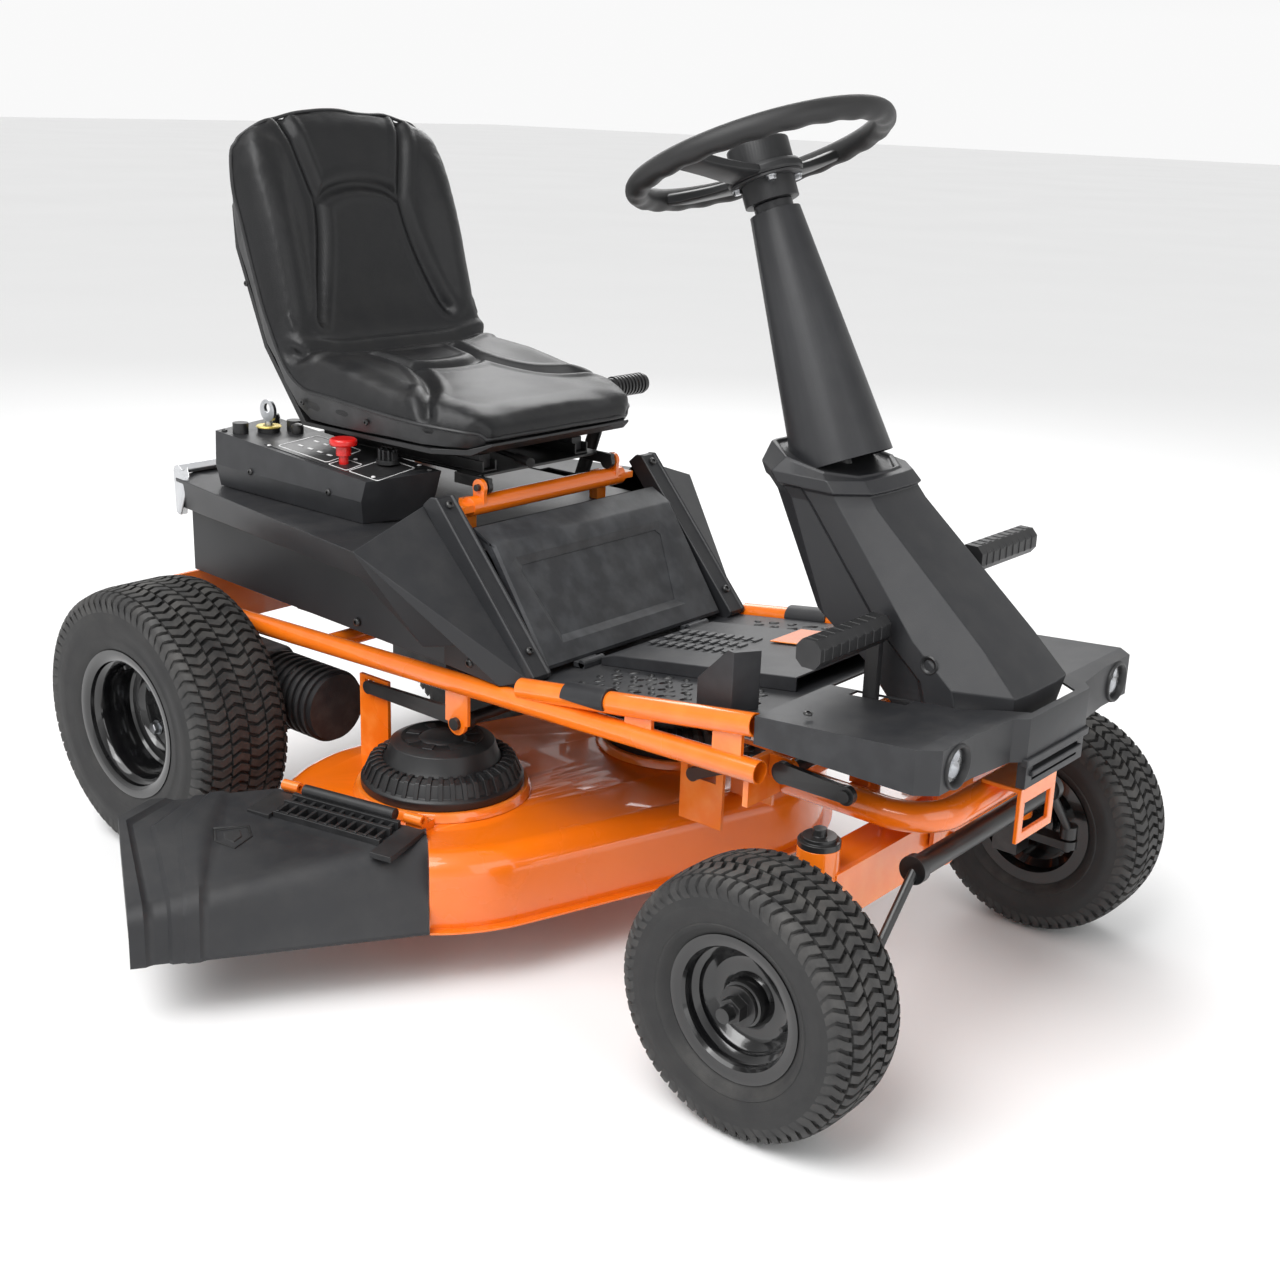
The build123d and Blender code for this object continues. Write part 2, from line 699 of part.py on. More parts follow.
# ---------------------------------------------------------------------- pedals
def foot_pedal(height, side):
    """Octagonal slotted foot bar on an upright arm with a cross pin at its foot."""
    start = pedal_arm_y - 6
    bar = prism_xz([(pedal_x - 17, height - 9), (pedal_x - 8, height - 17), (pedal_x + 10, height - 17),
                    (pedal_x + 17, height - 8), (pedal_x + 17, height + 8), (pedal_x + 9, height + 17),
                    (pedal_x - 9, height + 17), (pedal_x - 17, height + 8)], -pedal_outer_y, -start)
    for y in (140, 155, 170, 200):
        bar = bar - box(pedal_x - 20, pedal_x - 6, -y - 8, -y, height - 11, height + 11)
    arm = box(pedal_x - 9, pedal_x + 9, -pedal_arm_y - 5, -pedal_arm_y + 5, pedal_pivot_z, height)
    boss = rod((pedal_pivot_x, -pedal_arm_y - 9, pedal_pivot_z), (pedal_pivot_x, -pedal_arm_y + 9, pedal_pivot_z), 24)
    reach = 10 + pedal_ear
    pin = rod((pedal_pivot_x, -pedal_arm_y - reach, pedal_pivot_z),
              (pedal_pivot_x, -pedal_arm_y + reach, pedal_pivot_z), pedal_pin_dia)
    pedal = bar + arm + boss + pin
    return pedal if side < 0 else left_of(pedal)


def pedal_ears():
    """Bored lugs on the front web that hold the pedal pins."""
    ears = []
    for side in (-1, 1):
        for offset in (-10 - pedal_ear, 10):
            y = side * pedal_arm_y + offset
            ear = box(pedal_pivot_x - 14, pedal_pivot_x + 14, y, y + pedal_ear, loop_z + 5, pedal_pivot_z + 14)
            hole = rod((pedal_pivot_x, y - 1, pedal_pivot_z), (pedal_pivot_x, y + pedal_ear + 1, pedal_pivot_z),
                       pedal_pin_dia + 2 * running_fit)
            ears.append(ear - hole)
    return ears


# ------------------------------------------------------------------------ floor
def floor_top(x):
    """Height of the floor's upper face at one station."""
    climb = (floor_front_z - floor_z) / (floor_front_x - floor_bend_x)
    return floor_z + sheet + max(0.0, x - floor_bend_x) * climb


def under_floor():
    """Everything below the floor's upper face, for trimming what stands on it."""
    return prism_xz([(floor_rear_x, 300), (floor_front_x, 300), (floor_front_x, floor_top(floor_front_x)),
                     (floor_bend_x, floor_top(floor_bend_x)), (floor_rear_x, floor_top(floor_rear_x))], -rail_y, rail_y)


def floor_pan():
    """Sheet floor: flat under the battery, then rising between the upper rails."""
    rise = [(floor_rear_x, floor_z), (floor_bend_x, floor_z), (floor_front_x, floor_front_z),
            (floor_front_x, floor_front_z + sheet), (floor_bend_x, floor_z + sheet), (floor_rear_x, floor_z + sheet)]
    half = rail_y - rail_dia / 2 - floor_edge_gap
    pan = prism_xz(rise, -half, half)
    for side in (-1, 1):
        for row in range(3):
            for step in range(7):
                x = 740 + 38 * step + 19 * (row % 2)
                y = side * (150 + 26 * row)
                z = floor_top(x) - sheet
                pan = pan - rod((x, y, z - 4), (x, y, z + 8), 11)
    return pan


def centre_tunnel():
    """Raised centre plate over the floor, from the battery cover to the shroud."""
    rear = 674.0
    front = 1000.0
    half = 112.0
    skin = prism_xz([(rear, floor_z - 10), (front, floor_z - 10), (front, floor_top(front) + 20),
                     (rear + 22, floor_top(rear) + 20), (rear, floor_top(rear) + 12)], -half, half)
    inner = prism_xz([(rear + 4, floor_z - 11), (front + 1, floor_z - 11), (front + 1, floor_top(front) + 17),
                      (rear + 22, floor_top(rear) + 17), (rear + 4, floor_top(rear) + 10)], -half + 3, half - 3)
    return skin - inner - under_floor()


def rail_guards():
    """Clip-on covers of the upper rails and the folded guard plate on the right rail."""
    pieces = []
    for side in (-1, 1):
        z0 = rail_height(clip_rear_x, upper_rail_rear, upper_rail_front)
        z1 = rail_height(clip_front_x, upper_rail_rear, upper_rail_front)
        y = side * rail_y
        clip = rod((clip_rear_x, y, z0), (clip_front_x, y, z1), rail_dia + 8)
        clip = clip - box(clip_rear_x - 5, clip_front_x + 5, y - 30, y + 30, z0 - 60, z0 + 2)
        clip = clip - rail_core(upper_rail_rear, upper_rail_front, side)
        pieces.append(clip.solids().sort_by(SortBy.VOLUME)[-1])
    floor = floor_top(940)
    guard = prism_xy([(920, -212), (985, -227), (1004, -196), (1000, -193), (982, -221), (922, -208)],
                     floor - 20, floor + 84)
    guard = guard - prism_xz([(900, floor + 14), (976, floor + 86), (900, floor + 96)], -240, -190)
    pieces.append(guard - under_floor())
    return group(*pieces)


# ------------------------------------------------------------------------- body
side_levels = (
    # station x, then (half width, height) of strip edge, crease, lower crease, shelf, sill
    (body_rear, (214, 552), (250, 547), (242, 500), (238, 494), (238, body_floor)),
    (20, (214, 552), (276, 549), (267, 503), (258, 494), (258, body_floor + 2)),
    (392, (216, 553), (350, 555), (327, 512), (266, 492), (264, body_floor + 11)),
    (446, (216, 604), (361, 556), (336, 512), (274, 474), (266, body_floor + 13)),
    (588, (216, 470), (263, 448), (262, 434), (262, 428), (262, body_floor + 18)),
)


def side_section(station, inset):
    """Folded-sheet section of a side panel at one station, right side."""
    x, top, crease, low, shelf, sill = station
    outer = [(x, -y, z) for y, z in (top, crease, low, shelf, sill)]
    inner = [
        (x, -sill[0] + inset, sill[1]),
        (x, -shelf[0] + inset, shelf[1] + inset / 2),
        (x, -low[0] + inset, low[1] + inset),
        (x, -crease[0] + inset * 1.6, crease[1] - inset),
        (x, -top[0], top[1] - inset),
    ]
    return section(outer + inner)


def side_panel(side):
    """Facetted rear side cover with the front strip that frames the battery cover."""
    panel = loft([side_section(station, shell) for station in side_levels], ruled=True)
    strip = prism_xz([(447, 626), (strip_top.X, strip_top.Z), (strip_foot.X, strip_foot.Z), (640, strip_foot.Z),
                      (447, 604)], -strip_y - strip_wide, -strip_y)
    hollow = prism_xz([(450, 618), (468, 608), (650, 404), (640, 404), (450, 606)],
                      -strip_y - strip_wide + shell, -strip_y + 1)
    panel = panel + (strip - hollow)
    return left_of(panel) - lever_slot() if side > 0 else panel


def rear_panel():
    """Rear cover between the side panels with louvres and a number-plate recess."""
    panel = box(body_rear - shell, body_rear, -213, 213, body_floor, 552)
    for z in (420, 434, 448, 462):
        panel = panel - box(body_rear - 4, body_rear + 1, -120, 120, z, z + 6)
    return panel


def seat_deck():
    """Top cover under the seat, between the side panels."""
    top = box(body_rear, 446, -213, 213, deck_plate_z, deck_plate_z + shell)
    return top - lever_slot()


def lever_slot():
    """Space the height lever swings in as it passes up through the covers."""
    return box(lever_x - 50, lever_x + lever_slot_reach, lever_y - 9, lever_y + 9, 500, 640)


def lid_z(x, y):
    """Height of the control box's sloping lid at a point."""
    return lid_high - (x - console_rear_x) * 24 / 380 - (lid_inner_y - y) * 8 / 112


def on_lid(x, y, lift=0.0):
    """Point on the lid, or above it."""
    return Vector(x, y, lid_z(x, y) + lift)


def console_front(y, z):
    """Station of the control box's raked front wall."""
    return console_front_x + 0.3 * (y - lid_inner_y) + 0.25 * (z - lid_high + 24)


def console_box():
    """Right-hand control box with a sloping lid and tucked-in lower sides."""
    foot = console_floor_z
    tuck = foot + console_tuck
    inner, outer = lid_inner_y, lid_outer_y
    edge = tuck + console_tuck      # level at which the raked wall meets the lid's corners
    rear = [
        (outer + 6, foot), (inner - 10, foot), (inner - 2, tuck), (inner, lid_z(console_rear_x, inner)),
        (outer, lid_z(console_rear_x, outer)), (outer - 2, tuck),
    ]
    front = rear[:3] + [
        (inner, lid_z(console_front(inner, edge), inner)), (outer, lid_z(console_front(outer, edge), outer)),
        (outer - 2, tuck),
    ]
    rear = section([(console_rear_x, y, z) for y, z in rear])
    front = section([(console_front(y, z), y, z) for y, z in front])
    box_body = loft([rear, front], ruled=True)
    for spot, dia in ((key_spot, key_stem), (stop_spot, stop_stem), (knob_spot, knob_stem)):
        box_body = box_body - rod(spot - Vector(0, 0, 30), spot + Vector(0, 0, 30), dia + 2 * running_fit)
    return box_body


def control_panel():
    """Thin overlay on the lid, cut out round the stop button and speed knob."""
    corners = [(112, -244), (338, -246), (366, -152), (112, -150)]
    sheet_face = section([on_lid(x, y) for x, y in corners])
    overlay = extrude(sheet_face, amount=1.0, dir=(0, 0, 1))
    for spot, dia in ((stop_spot, 26), (knob_spot, 12)):
        overlay = overlay - rod(spot - Vector(0, 0, 20), spot + Vector(0, 0, 20), dia)
    return overlay


def key_switch():
    """Lock barrel ring standing on the lid and two capped sockets beside it."""
    ring = rod(key_spot - Vector(0, 0, 4), key_spot + Vector(0, 0, 7), 34)
    ring = ring - rod(key_spot - Vector(0, 0, 5), key_spot + Vector(0, 0, 8), key_stem + 2 * running_fit)
    caps = []
    for x, y in ((40, -232), (84, -164)):
        foot = on_lid(x, y, -4)
        caps.append(rod(foot, foot + Vector(0, 0, 20), 24))
    return group(*[piece - console_box() for piece in [ring] + caps])


def ignition_key():
    """Key blade, collar and round bow, turning in the lock."""
    stem = rod(key_spot - Vector(0, 0, 20), key_spot + Vector(0, 0, 16), key_stem)
    bow = rod(key_spot + Vector(0, -2.5, 32), key_spot + Vector(0, 2.5, 32), 34)
    bow = bow - rod(key_spot + Vector(0, -4, 36), key_spot + Vector(0, 4, 36), 14)
    return stem + bow


def stop_button():
    """Mushroom emergency-stop button on its stem."""
    stem = rod(stop_spot - Vector(0, 0, 22), stop_spot + Vector(0, 0, 24), stop_stem)
    skirt = rod(stop_spot + Vector(0, 0, 12), stop_spot + Vector(0, 0, 28), 22)
    head = rod(stop_spot + Vector(0, 0, 26), stop_spot + Vector(0, 0, 37), 40)
    head = fillet(head.edges().filter_by(GeomType.CIRCLE), 4)
    return stem + skirt + head


def speed_knob():
    """Turning knob with a grip bar across it."""
    stem = rod(knob_spot - Vector(0, 0, 18), knob_spot + Vector(0, 0, 8), knob_stem)
    skirt = rod(knob_spot + Vector(0, 0, 3), knob_spot + Vector(0, 0, 9), 34)
    grip = Pos(knob_spot.X, knob_spot.Y, knob_spot.Z + 15) * Box(32, 10, 13)
    return stem + skirt + grip


key_spot = on_lid(*key_at)
stop_spot = on_lid(*stop_at)
knob_spot = on_lid(*knob_at)


# -------------------------------------------------------------- power and cover
def battery_pack():
    """Battery case with a carrying rib and terminals under the seat deck."""
    pack = box(190, 500, -160, 160, 389, 532)
    pack = fillet(pack.edges().filter_by(Axis.Z), 12)
    for y in (-60, 60):
        pack = pack + box(230, 460, y - 8, y + 8, 532, 541)
    return pack


def motor_controller():
    """Finned controller case behind the battery."""
    case = box(20, 150, -90, 90, 420, 470)
    for y in range(-84, 85, 12):
        case = case + box(24, 146, y - 2, y + 2, 470, 488)
    feet = box(20, 30, -90, -80, body_floor, 420) + box(140, 150, 80, 90, body_floor, 420)
    return case + feet


def battery_cover():
    """Sloping front door with a recessed panel, hinged along its lower edge."""
    run = cover_top - cover_bottom
    length = run.length
    frame = Plane(origin=cover_bottom, x_dir=(0, 1, 0), z_dir=Vector(run.Z, 0, -run.X))
    half = cover_half
    body = Pos(0, length / 2 + 6, -6) * Box(2 * half, length - 12, 12)
    body = body - Pos(0, length / 2 + 6, -9) * Box(2 * half - 8, length - 20, 10)
    recess = Pos(0, length * 0.36, 0) * Box(2 * half - 76, length * 0.5, 3)
    door = frame * (body - recess)
    for y in (-cover_hinge_y, cover_hinge_y):
        door = door + rod((cover_hinge.X, y - 22, cover_hinge.Z), (cover_hinge.X, y + 22, cover_hinge.Z), 11)
        door = door + prism_xz([(cover_hinge.X - 4, cover_hinge.Z - 4), (cover_hinge.X + 3, cover_hinge.Z + 4),
                                (cover_bottom.X - 4, cover_bottom.Z + 12), (cover_bottom.X - 12, cover_bottom.Z + 9)],
                               y - 22, y + 22)
        door = door - rod((cover_hinge.X, y - 30, cover_hinge.Z), (cover_hinge.X, y + 30, cover_hinge.Z),
                          cover_pin_dia + 2 * running_fit)
    return door


def cover_hinge_pins():
    """Hinge pins of the battery cover, each between two lugs on the floor."""
    pins = []
    for y in (-cover_hinge_y, cover_hinge_y):
        pin = rod((cover_hinge.X, y - 30, cover_hinge.Z), (cover_hinge.X, y + 30, cover_hinge.Z), cover_pin_dia)
        for end in (y - 30, y + 24):
            pin = pin + box(cover_hinge.X - 5, cover_hinge.X + 5, end, end + 6, floor_z, cover_hinge.Z + 5)
        pins.append(pin - under_floor())
    return group(*pins)


# ------------------------------------------------------------------------- seat
def seat_frame():
    """Orange cross tubes under the seat: hinge bar with pivot ears, and a rear rest."""
    bar = rod((462, -162, hinge_bar_z), (462, 162, hinge_bar_z), hinge_bar_dia)
    for side in (-1, 1):
        y = side * 162
        y0, y1 = sorted((y, side * (strip_y - 1)))
        bar = bar + box(450, 474, y0, y1, hinge_bar_z - 5, hinge_bar_z + 5)
        e0, e1 = sorted((side * (tilt_ear_y + 8), side * (tilt_ear_y + 14)))
        ear = box(tilt_x - 11, tilt_x + 11, e0, e1, hinge_bar_z, tilt_z)
        ear = ear + rod((tilt_x, e0, tilt_z), (tilt_x, e1, tilt_z), 24)
        ear = ear - rod((tilt_x, e0 - 1, tilt_z), (tilt_x, e1 + 1, tilt_z), tilt_pin_dia + 2 * running_fit)
        bar = bar + ear
    rest = rod((66, -134, 608), (66, 134, 608), 26)
    for y in (-120, 120):
        rest = rest + box(58, 74, y - 14, y + 14, deck_plate_z + shell, 600)
    prop = box(430, 446, -150, -130, deck_plate_z + shell, hinge_bar_z + 4)
    prop = prop + box(430, 462, -150, -130, hinge_bar_z - 6, hinge_bar_z + 6)
    prop = prop + mirror(prop, Plane.XZ)
    return group(bar + prop, rest)


def seat_base():
    """Tilting plate with pivot ears, pins and the two fixed slide rails."""
    top = 626.0
    base = box(52, 448, -118, 118, top - 4, top)
    for side in (-1, 1):
        e0, e1 = sorted((side * (tilt_ear_y - 4), side * (tilt_ear_y + 4)))
        ear = box(tilt_x - 60, tilt_x + 10, e0, e1, tilt_z - 4, top)
        ear = ear + rod((tilt_x, e0, tilt_z), (tilt_x, e1, tilt_z), 24)
        web0, web1 = sorted((side * 112, side * (tilt_ear_y + 4)))
        base = base + ear + box(tilt_x - 60, tilt_x - 20, web0, web1, top - 4, top)
        pin0, pin1 = sorted((side * (tilt_ear_y - 4), side * (tilt_ear_y + 20)))
        base = base + rod((tilt_x, pin0, tilt_z), (tilt_x, pin1, tilt_z), tilt_pin_dia)
        rail0, rail1 = sorted((side * 84, side * 112))
        channel = box(90, 440, rail0, rail1, top, top + 16)
        channel = channel - box(80, 450, rail0 + 3, rail1 - 3, top + 3, top + 17)
        base = base + channel
    return base


def seat_shell():
    """Slide runners, cross straps and the hard tray under the cushion."""
    shell_parts = None
    for side in (-1, 1):
        rail0, rail1 = sorted((side * (84 + 3 + slide_air), side * (112 - 3 - slide_air)))
        runner = box(110, 430, rail0, rail1, 629 + slide_air, strap_z)
        shell_parts = runner if shell_parts is None else shell_parts + runner
    for x in (130, 380):
        shell_parts = shell_parts + box(x, x + 40, -120, 120, strap_z, strap_z + 12)
    shell_parts = shell_parts - rod(slide_lever_pivot, slide_lever_pivot + Vector(0, 0, 22),
                                    slide_lever_pin + 2 * running_fit)
    tray = prism_xz([(142, 662), (468, 662), (492, 676), (492, 680), (462, 670), (150, 668), (64, 772),
                     (4, 912), (-10, 1050), (-10, 1080), (-14, 1080), (-14, 1050), (-3, 910), (58, 768)], -196, 196)
    for side in (-1, 1):
        tray = tray - prism_yz([(side * 196, 970), (side * 150, 1081), (side * 200, 1081), (side * 200, 970)], -60, 60)
        tray = tray - prism_xy([(side_x, side * y) for side_x, y in ((420, 197), (500, 140), (500, 200))], 640, 700)
    return shell_parts + tray


def cushion_section(y, swell, top_drop, front_drop):
    """Side outline of the cushion at one distance from the middle."""
    front = [
        (462 - front_drop, 671), (494 - front_drop, 682), (490 - front_drop, 702), (464 - front_drop, 716),
        (400 - front_drop / 2, 724 + swell / 2), (320, 734 + swell), (246, 748 + swell), (180 + swell, 757 + swell),
        (140 + swell, 772 + swell), (112 + swell, 802), (90 + swell, 850), (70 + swell, 915),
        (50 + swell, 985 - top_drop / 2), (32 + swell / 2, 1060 - top_drop), (20, 1100 - top_drop),
        (8, seat_top - top_drop), (-6, seat_top - 6 - top_drop),
    ]
    back = [(-8, 1050 - top_drop / 2), (6, 912.5), (66, 773), (150, 670.5)]
    return section([(x, y, z) for x, z in front + back])


def seat_cushion():
    """Closed body of the bucket cushion: seat pan, backrest and side bolsters in one."""
    edge = seat_half - 4
    stations = (
        # distance from the middle, swell of the padding, drop of the top corner, set-back of the front corner
        (0, 0, 0, 0), (100, 2, 6, 4), (140, 10, 14, 12), (172, 18, 28, 26), (194, 10, 56, 48), (edge, -6, 90, 74),
    )
    halves = [cushion_section(y, swell, drop, back) for y, swell, drop, back in stations]
    mirrored = [cushion_section(-y, swell, drop, back) for y, swell, drop, back in reversed(stations[1:])]
    return loft(mirrored + halves, ruled=True)


def slide_lever():
    """Bent release handle of the seat slide, under the cushion's front edge."""
    pivot = slide_lever_pivot
    lever = rod(pivot, pivot + Vector(0, 0, 19), slide_lever_pin)
    lever = lever + rod(pivot, pivot + Vector(0, 0, 6), 20)
    lever = lever + rod(pivot + Vector(0, 0, 3), pivot + Vector(96, -28, 3), 9)
    lever = lever + rod(pivot + Vector(70, -20, 3), pivot + Vector(104, -30, 3), 14)
    return lever


# ------------------------------------------------------------------------- deck
def deck_outline(radius):
    """Plan outline round both blades."""
    circles = [Pos(spot.X, spot.Y) * Circle(radius) for spot in (right_spindle, left_spindle)]
    return make_hull(circles[0].edges() + circles[1].edges())


def chute_line(extra_rear=0.0, extra_front=0.0, offset=0.0):
    """Two plan points on the chute's hinge line, moved outboard by offset."""
    run = (chute_front - chute_rear).normalized()
    out = Vector(run.Y, -run.X, 0)
    return (chute_rear - run * extra_rear + out * offset, chute_front + run * extra_front + out * offset)


def deck_shell():
    """Pressed deck with a rolled rim, motor seats, lift lugs and a side discharge."""
    skin = extrude(deck_outline(deck_r), amount=deck_high - deck_low)
    skin = fillet(skin.edges().group_by(Axis.Z)[-1], deck_round)
    core = extrude(deck_outline(deck_r - deck_wall), amount=deck_high - deck_low - deck_wall)
    core = fillet(core.edges().group_by(Axis.Z)[-1], deck_round - deck_wall)
    rim_ring = extrude(deck_outline(deck_r + deck_rim), amount=deck_wall) - extrude(deck_outline(deck_r - 1), amount=deck_wall)
    deck = Pos(0, 0, deck_low) * (skin + rim_ring - core)
    for spot in (right_spindle, left_spindle):
        deck = deck + rod((spot.X, spot.Y, deck_high - 1), (spot.X, spot.Y, motor_seat_z), motor_dome_dia + 14)
        deck = deck - rod((spot.X, spot.Y, deck_high - 20), (spot.X, spot.Y, motor_seat_z + 1), spindle_boss_dia + 1)
    inner0, inner1 = chute_line(offset=8.0)
    out_rear = Vector(100, -700, 0)
    mouth = prism_xy([(inner0.X - 60, inner0.Y - 13), (inner1.X + 4, inner1.Y), (664, -426), (760, -760),
                      (out_rear.X, out_rear.Y)], deck_low - 1, motor_seat_z + 5)
    deck = deck - mouth
    for x, y in ((rear_lug_x, rear_arm_y), (rear_lug_x, -rear_arm_y), (front_lug_x, front_lug_y),
                 (front_lug_x, -front_lug_y)):
        at_rear = x == rear_lug_x
        high = rear_pin_z if at_rear else front_pin_z
        reach = rear_slot_reach if at_rear else front_slot_reach
        lug = box(x - 28, x + reach + 12, y - 3, y + 3, deck_high - 1, high + 14)
        slot = box(x - 16, x + reach, y - 4, y + 4, high - lift_pin_dia / 2 - bare, high + lift_pin_dia / 2 + bare)
        deck = deck + (lug - slot)
    for low, high in hinge_spans:
        start, end = chute_line()
        run = (end - start).normalized()
        a = start + run * low
        b = start + run * high
        foot = rod(a + Vector(0, 0, chute_hinge_z), b + Vector(0, 0, chute_hinge_z), 16)
        base = Plane(origin=a + Vector(0, 0, deck_high), x_dir=run, z_dir=(0, 0, 1))
        width = high - low
        foot = foot + base * box(0, width, -2, 26, 0, 12)
        foot = foot + base * box(0, width, -2, 10, 0, chute_hinge_z - deck_high)
        deck = deck + foot
    start, end = chute_line()
    deck = deck - rod(start + Vector(0, 0, chute_hinge_z), end + Vector(0, 0, chute_hinge_z),
                      chute_pin_dia + 2 * running_fit)
    return deck


def deck_motors():
    """Vented motor covers, spindle bosses and shafts that drive the blades."""
    units = []
    for spot in (right_spindle, left_spindle):
        x, y = spot.X, spot.Y
        ring = rod((x, y, motor_seat_z), (x, y, motor_seat_z + 26), motor_dome_dia)
        crown = rod((x, y, motor_seat_z + 24), (x, y, motor_dome_high - 8), motor_dome_dia - 44)
        cap = rod((x, y, motor_dome_high - 10), (x, y, motor_dome_high), motor_dome_dia - 84)
        unit = ring + crown + cap
        for turn in range(24):
            angle = math.radians(15 * turn)
            reach = motor_dome_dia / 2 - 12
            spot_x = x + reach * math.cos(angle)
            spot_y = y + reach * math.sin(angle)
            unit = unit - rod((spot_x, spot_y, motor_seat_z + 16), (spot_x, spot_y, motor_seat_z + 30), 11)
        boss = rod((x, y, blade_z + 18), (x, y, motor_seat_z), spindle_boss_dia)
        units.append(unit + boss)
    return group(*units)


def blade(spot):
    """Mulching blade with raised tips, its hub and the bolt under it."""
    x, y = spot.X, spot.Y
    half = blade_len / 2
    bar = box(-half, half, -blade_width / 2, blade_width / 2, blade_z, blade_z + 5)
    tips = prism_xz([(-half, blade_z + 4), (-half + 70, blade_z + 4), (-half, blade_z + 20)], 8, blade_width / 2)
    bar = bar + tips + Rot(0, 0, 180) * tips
    circle = upright(blade_len, blade_z - 1, blade_z + 30)
    bar = bar & circle
    hub = upright(46, blade_z + 4, blade_z + 17) + upright(20, blade_z - 12, blade_z + 1)
    return Pos(x, y, 0) * (bar + hub)


def discharge_chute():
    """Moulded deflector: flat top, skirt falling forwards and outwards, hinge barrels."""
    start, end = chute_line(offset=12.0)
    top_z = 192.0
    out_rear = Vector(236, -556, 0)
    out_tip = Vector(252, -616, 0)
    low_tip = Vector(447, -chute_reach, 0)
    low_in = Vector(652, -418, 0)
    roof = prism_xy([(start.X, start.Y), (out_rear.X, out_rear.Y), (out_tip.X, out_tip.Y), (end.X, end.Y)],
                    top_z - chute_wall, top_z)
    crease = [(out_tip.X, out_tip.Y, top_z), (end.X, end.Y, top_z)]
    skirt_low = [(low_tip.X, low_tip.Y, deck_low + 4), (low_in.X, low_in.Y, deck_low + 4)]
    down = Vector(-2, 2, -chute_wall * 1.4)
    outer = section([crease[0], crease[1], tuple(Vector(*crease[1]) + down), tuple(Vector(*crease[0]) + down)])
    lower = section([skirt_low[0], skirt_low[1], tuple(Vector(*skirt_low[1]) + Vector(-6, 4, 0)),
                     tuple(Vector(*skirt_low[0]) + Vector(-6, 4, 0))])
    chute = roof + loft([outer, lower], ruled=True)
    hinge0, hinge1 = chute_line()
    run = (hinge1 - hinge0).normalized()
    for low, high in chute_spans:
        a = hinge0 + run * low
        b = hinge0 + run * high
        barrel = rod(a + Vector(0, 0, chute_hinge_z), b + Vector(0, 0, chute_hinge_z), 15)
        base = Plane(origin=a + Vector(0, 0, top_z), x_dir=run, z_dir=(0, 0, 1))
        arm = base * box(0, high - low, -40, -4, -1, 7)
        arm = arm + base * box(0, high - low, -12, 3, 3, 9)
        chute = chute + barrel + arm
    pin_start = hinge0 + run * 16
    pin_end = hinge0 + run * 246
    pin = rod(pin_start + Vector(0, 0, chute_hinge_z), pin_end + Vector(0, 0, chute_hinge_z), chute_pin_dia)
    return chute + pin


# -------------------------------------------------------------------- deck lift
def lift_hangers():
    """Bored brackets under the lower rails and on the front cross plate."""
    pieces = []
    for side in (-1, 1):
        y0, y1 = sorted((side * (rail_y - 6), side * rail_y))
        rail_mid = rail_height(rear_pivot.X, lower_rail_rear, lower_rail_front)
        ear = box(rear_pivot.X - 22, rear_pivot.X + 22, y0, y1, rear_pivot.Z, rail_mid)
        ear = ear + rod((rear_pivot.X, y0, rear_pivot.Z), (rear_pivot.X, y1, rear_pivot.Z), 34)
        hole = rod((rear_pivot.X, y0 - 1, rear_pivot.Z), (rear_pivot.X, y1 + 1, rear_pivot.Z),
                   lift_shaft_dia + 2 * running_fit)
        pieces.append(notched(ear - hole))
        y0, y1 = sorted((side * 204, side * 210))
        ear = box(1034, front_pivot.X, y0, y1, front_pivot.Z - 14, front_pivot.Z + 14)
        ear = ear + rod((front_pivot.X, y0, front_pivot.Z), (front_pivot.X, y1, front_pivot.Z), 28)
        hole = rod((front_pivot.X, y0 - 1, front_pivot.Z), (front_pivot.X, y1 + 1, front_pivot.Z),
                   lift_shaft_dia + 2 * running_fit)
        pieces.append(ear - hole)
    return pieces


def rear_lift():
    """Cross shaft with an arm and pin on each side that carries the deck's rear."""
    x, z = rear_pivot.X, rear_pivot.Z
    lift = rod((x, -rail_y - 6, z), (x, rail_y + 6, z), lift_shaft_dia)
    for side in (-1, 1):
        y0, y1 = sorted((side * (rear_arm_y + 5), side * (rear_arm_y + 13)))
        arm = prism_xz([(rear_lug_x, rear_pin_z - 9), (x, z - 13), (x, z + 13), (rear_lug_x, rear_pin_z + 9)], y0, y1)
        arm = arm + rod((rear_lug_x, y0, rear_pin_z), (rear_lug_x, y1, rear_pin_z), 20)
        arm = arm + rod((x, y0, z), (x, y1, z), 30)
        arm = arm + rod((rear_lug_x, side * (rear_arm_y - 8), rear_pin_z),
                        (rear_lug_x, side * (rear_arm_y + 13), rear_pin_z), lift_pin_dia)
        lift = lift + arm
    return lift


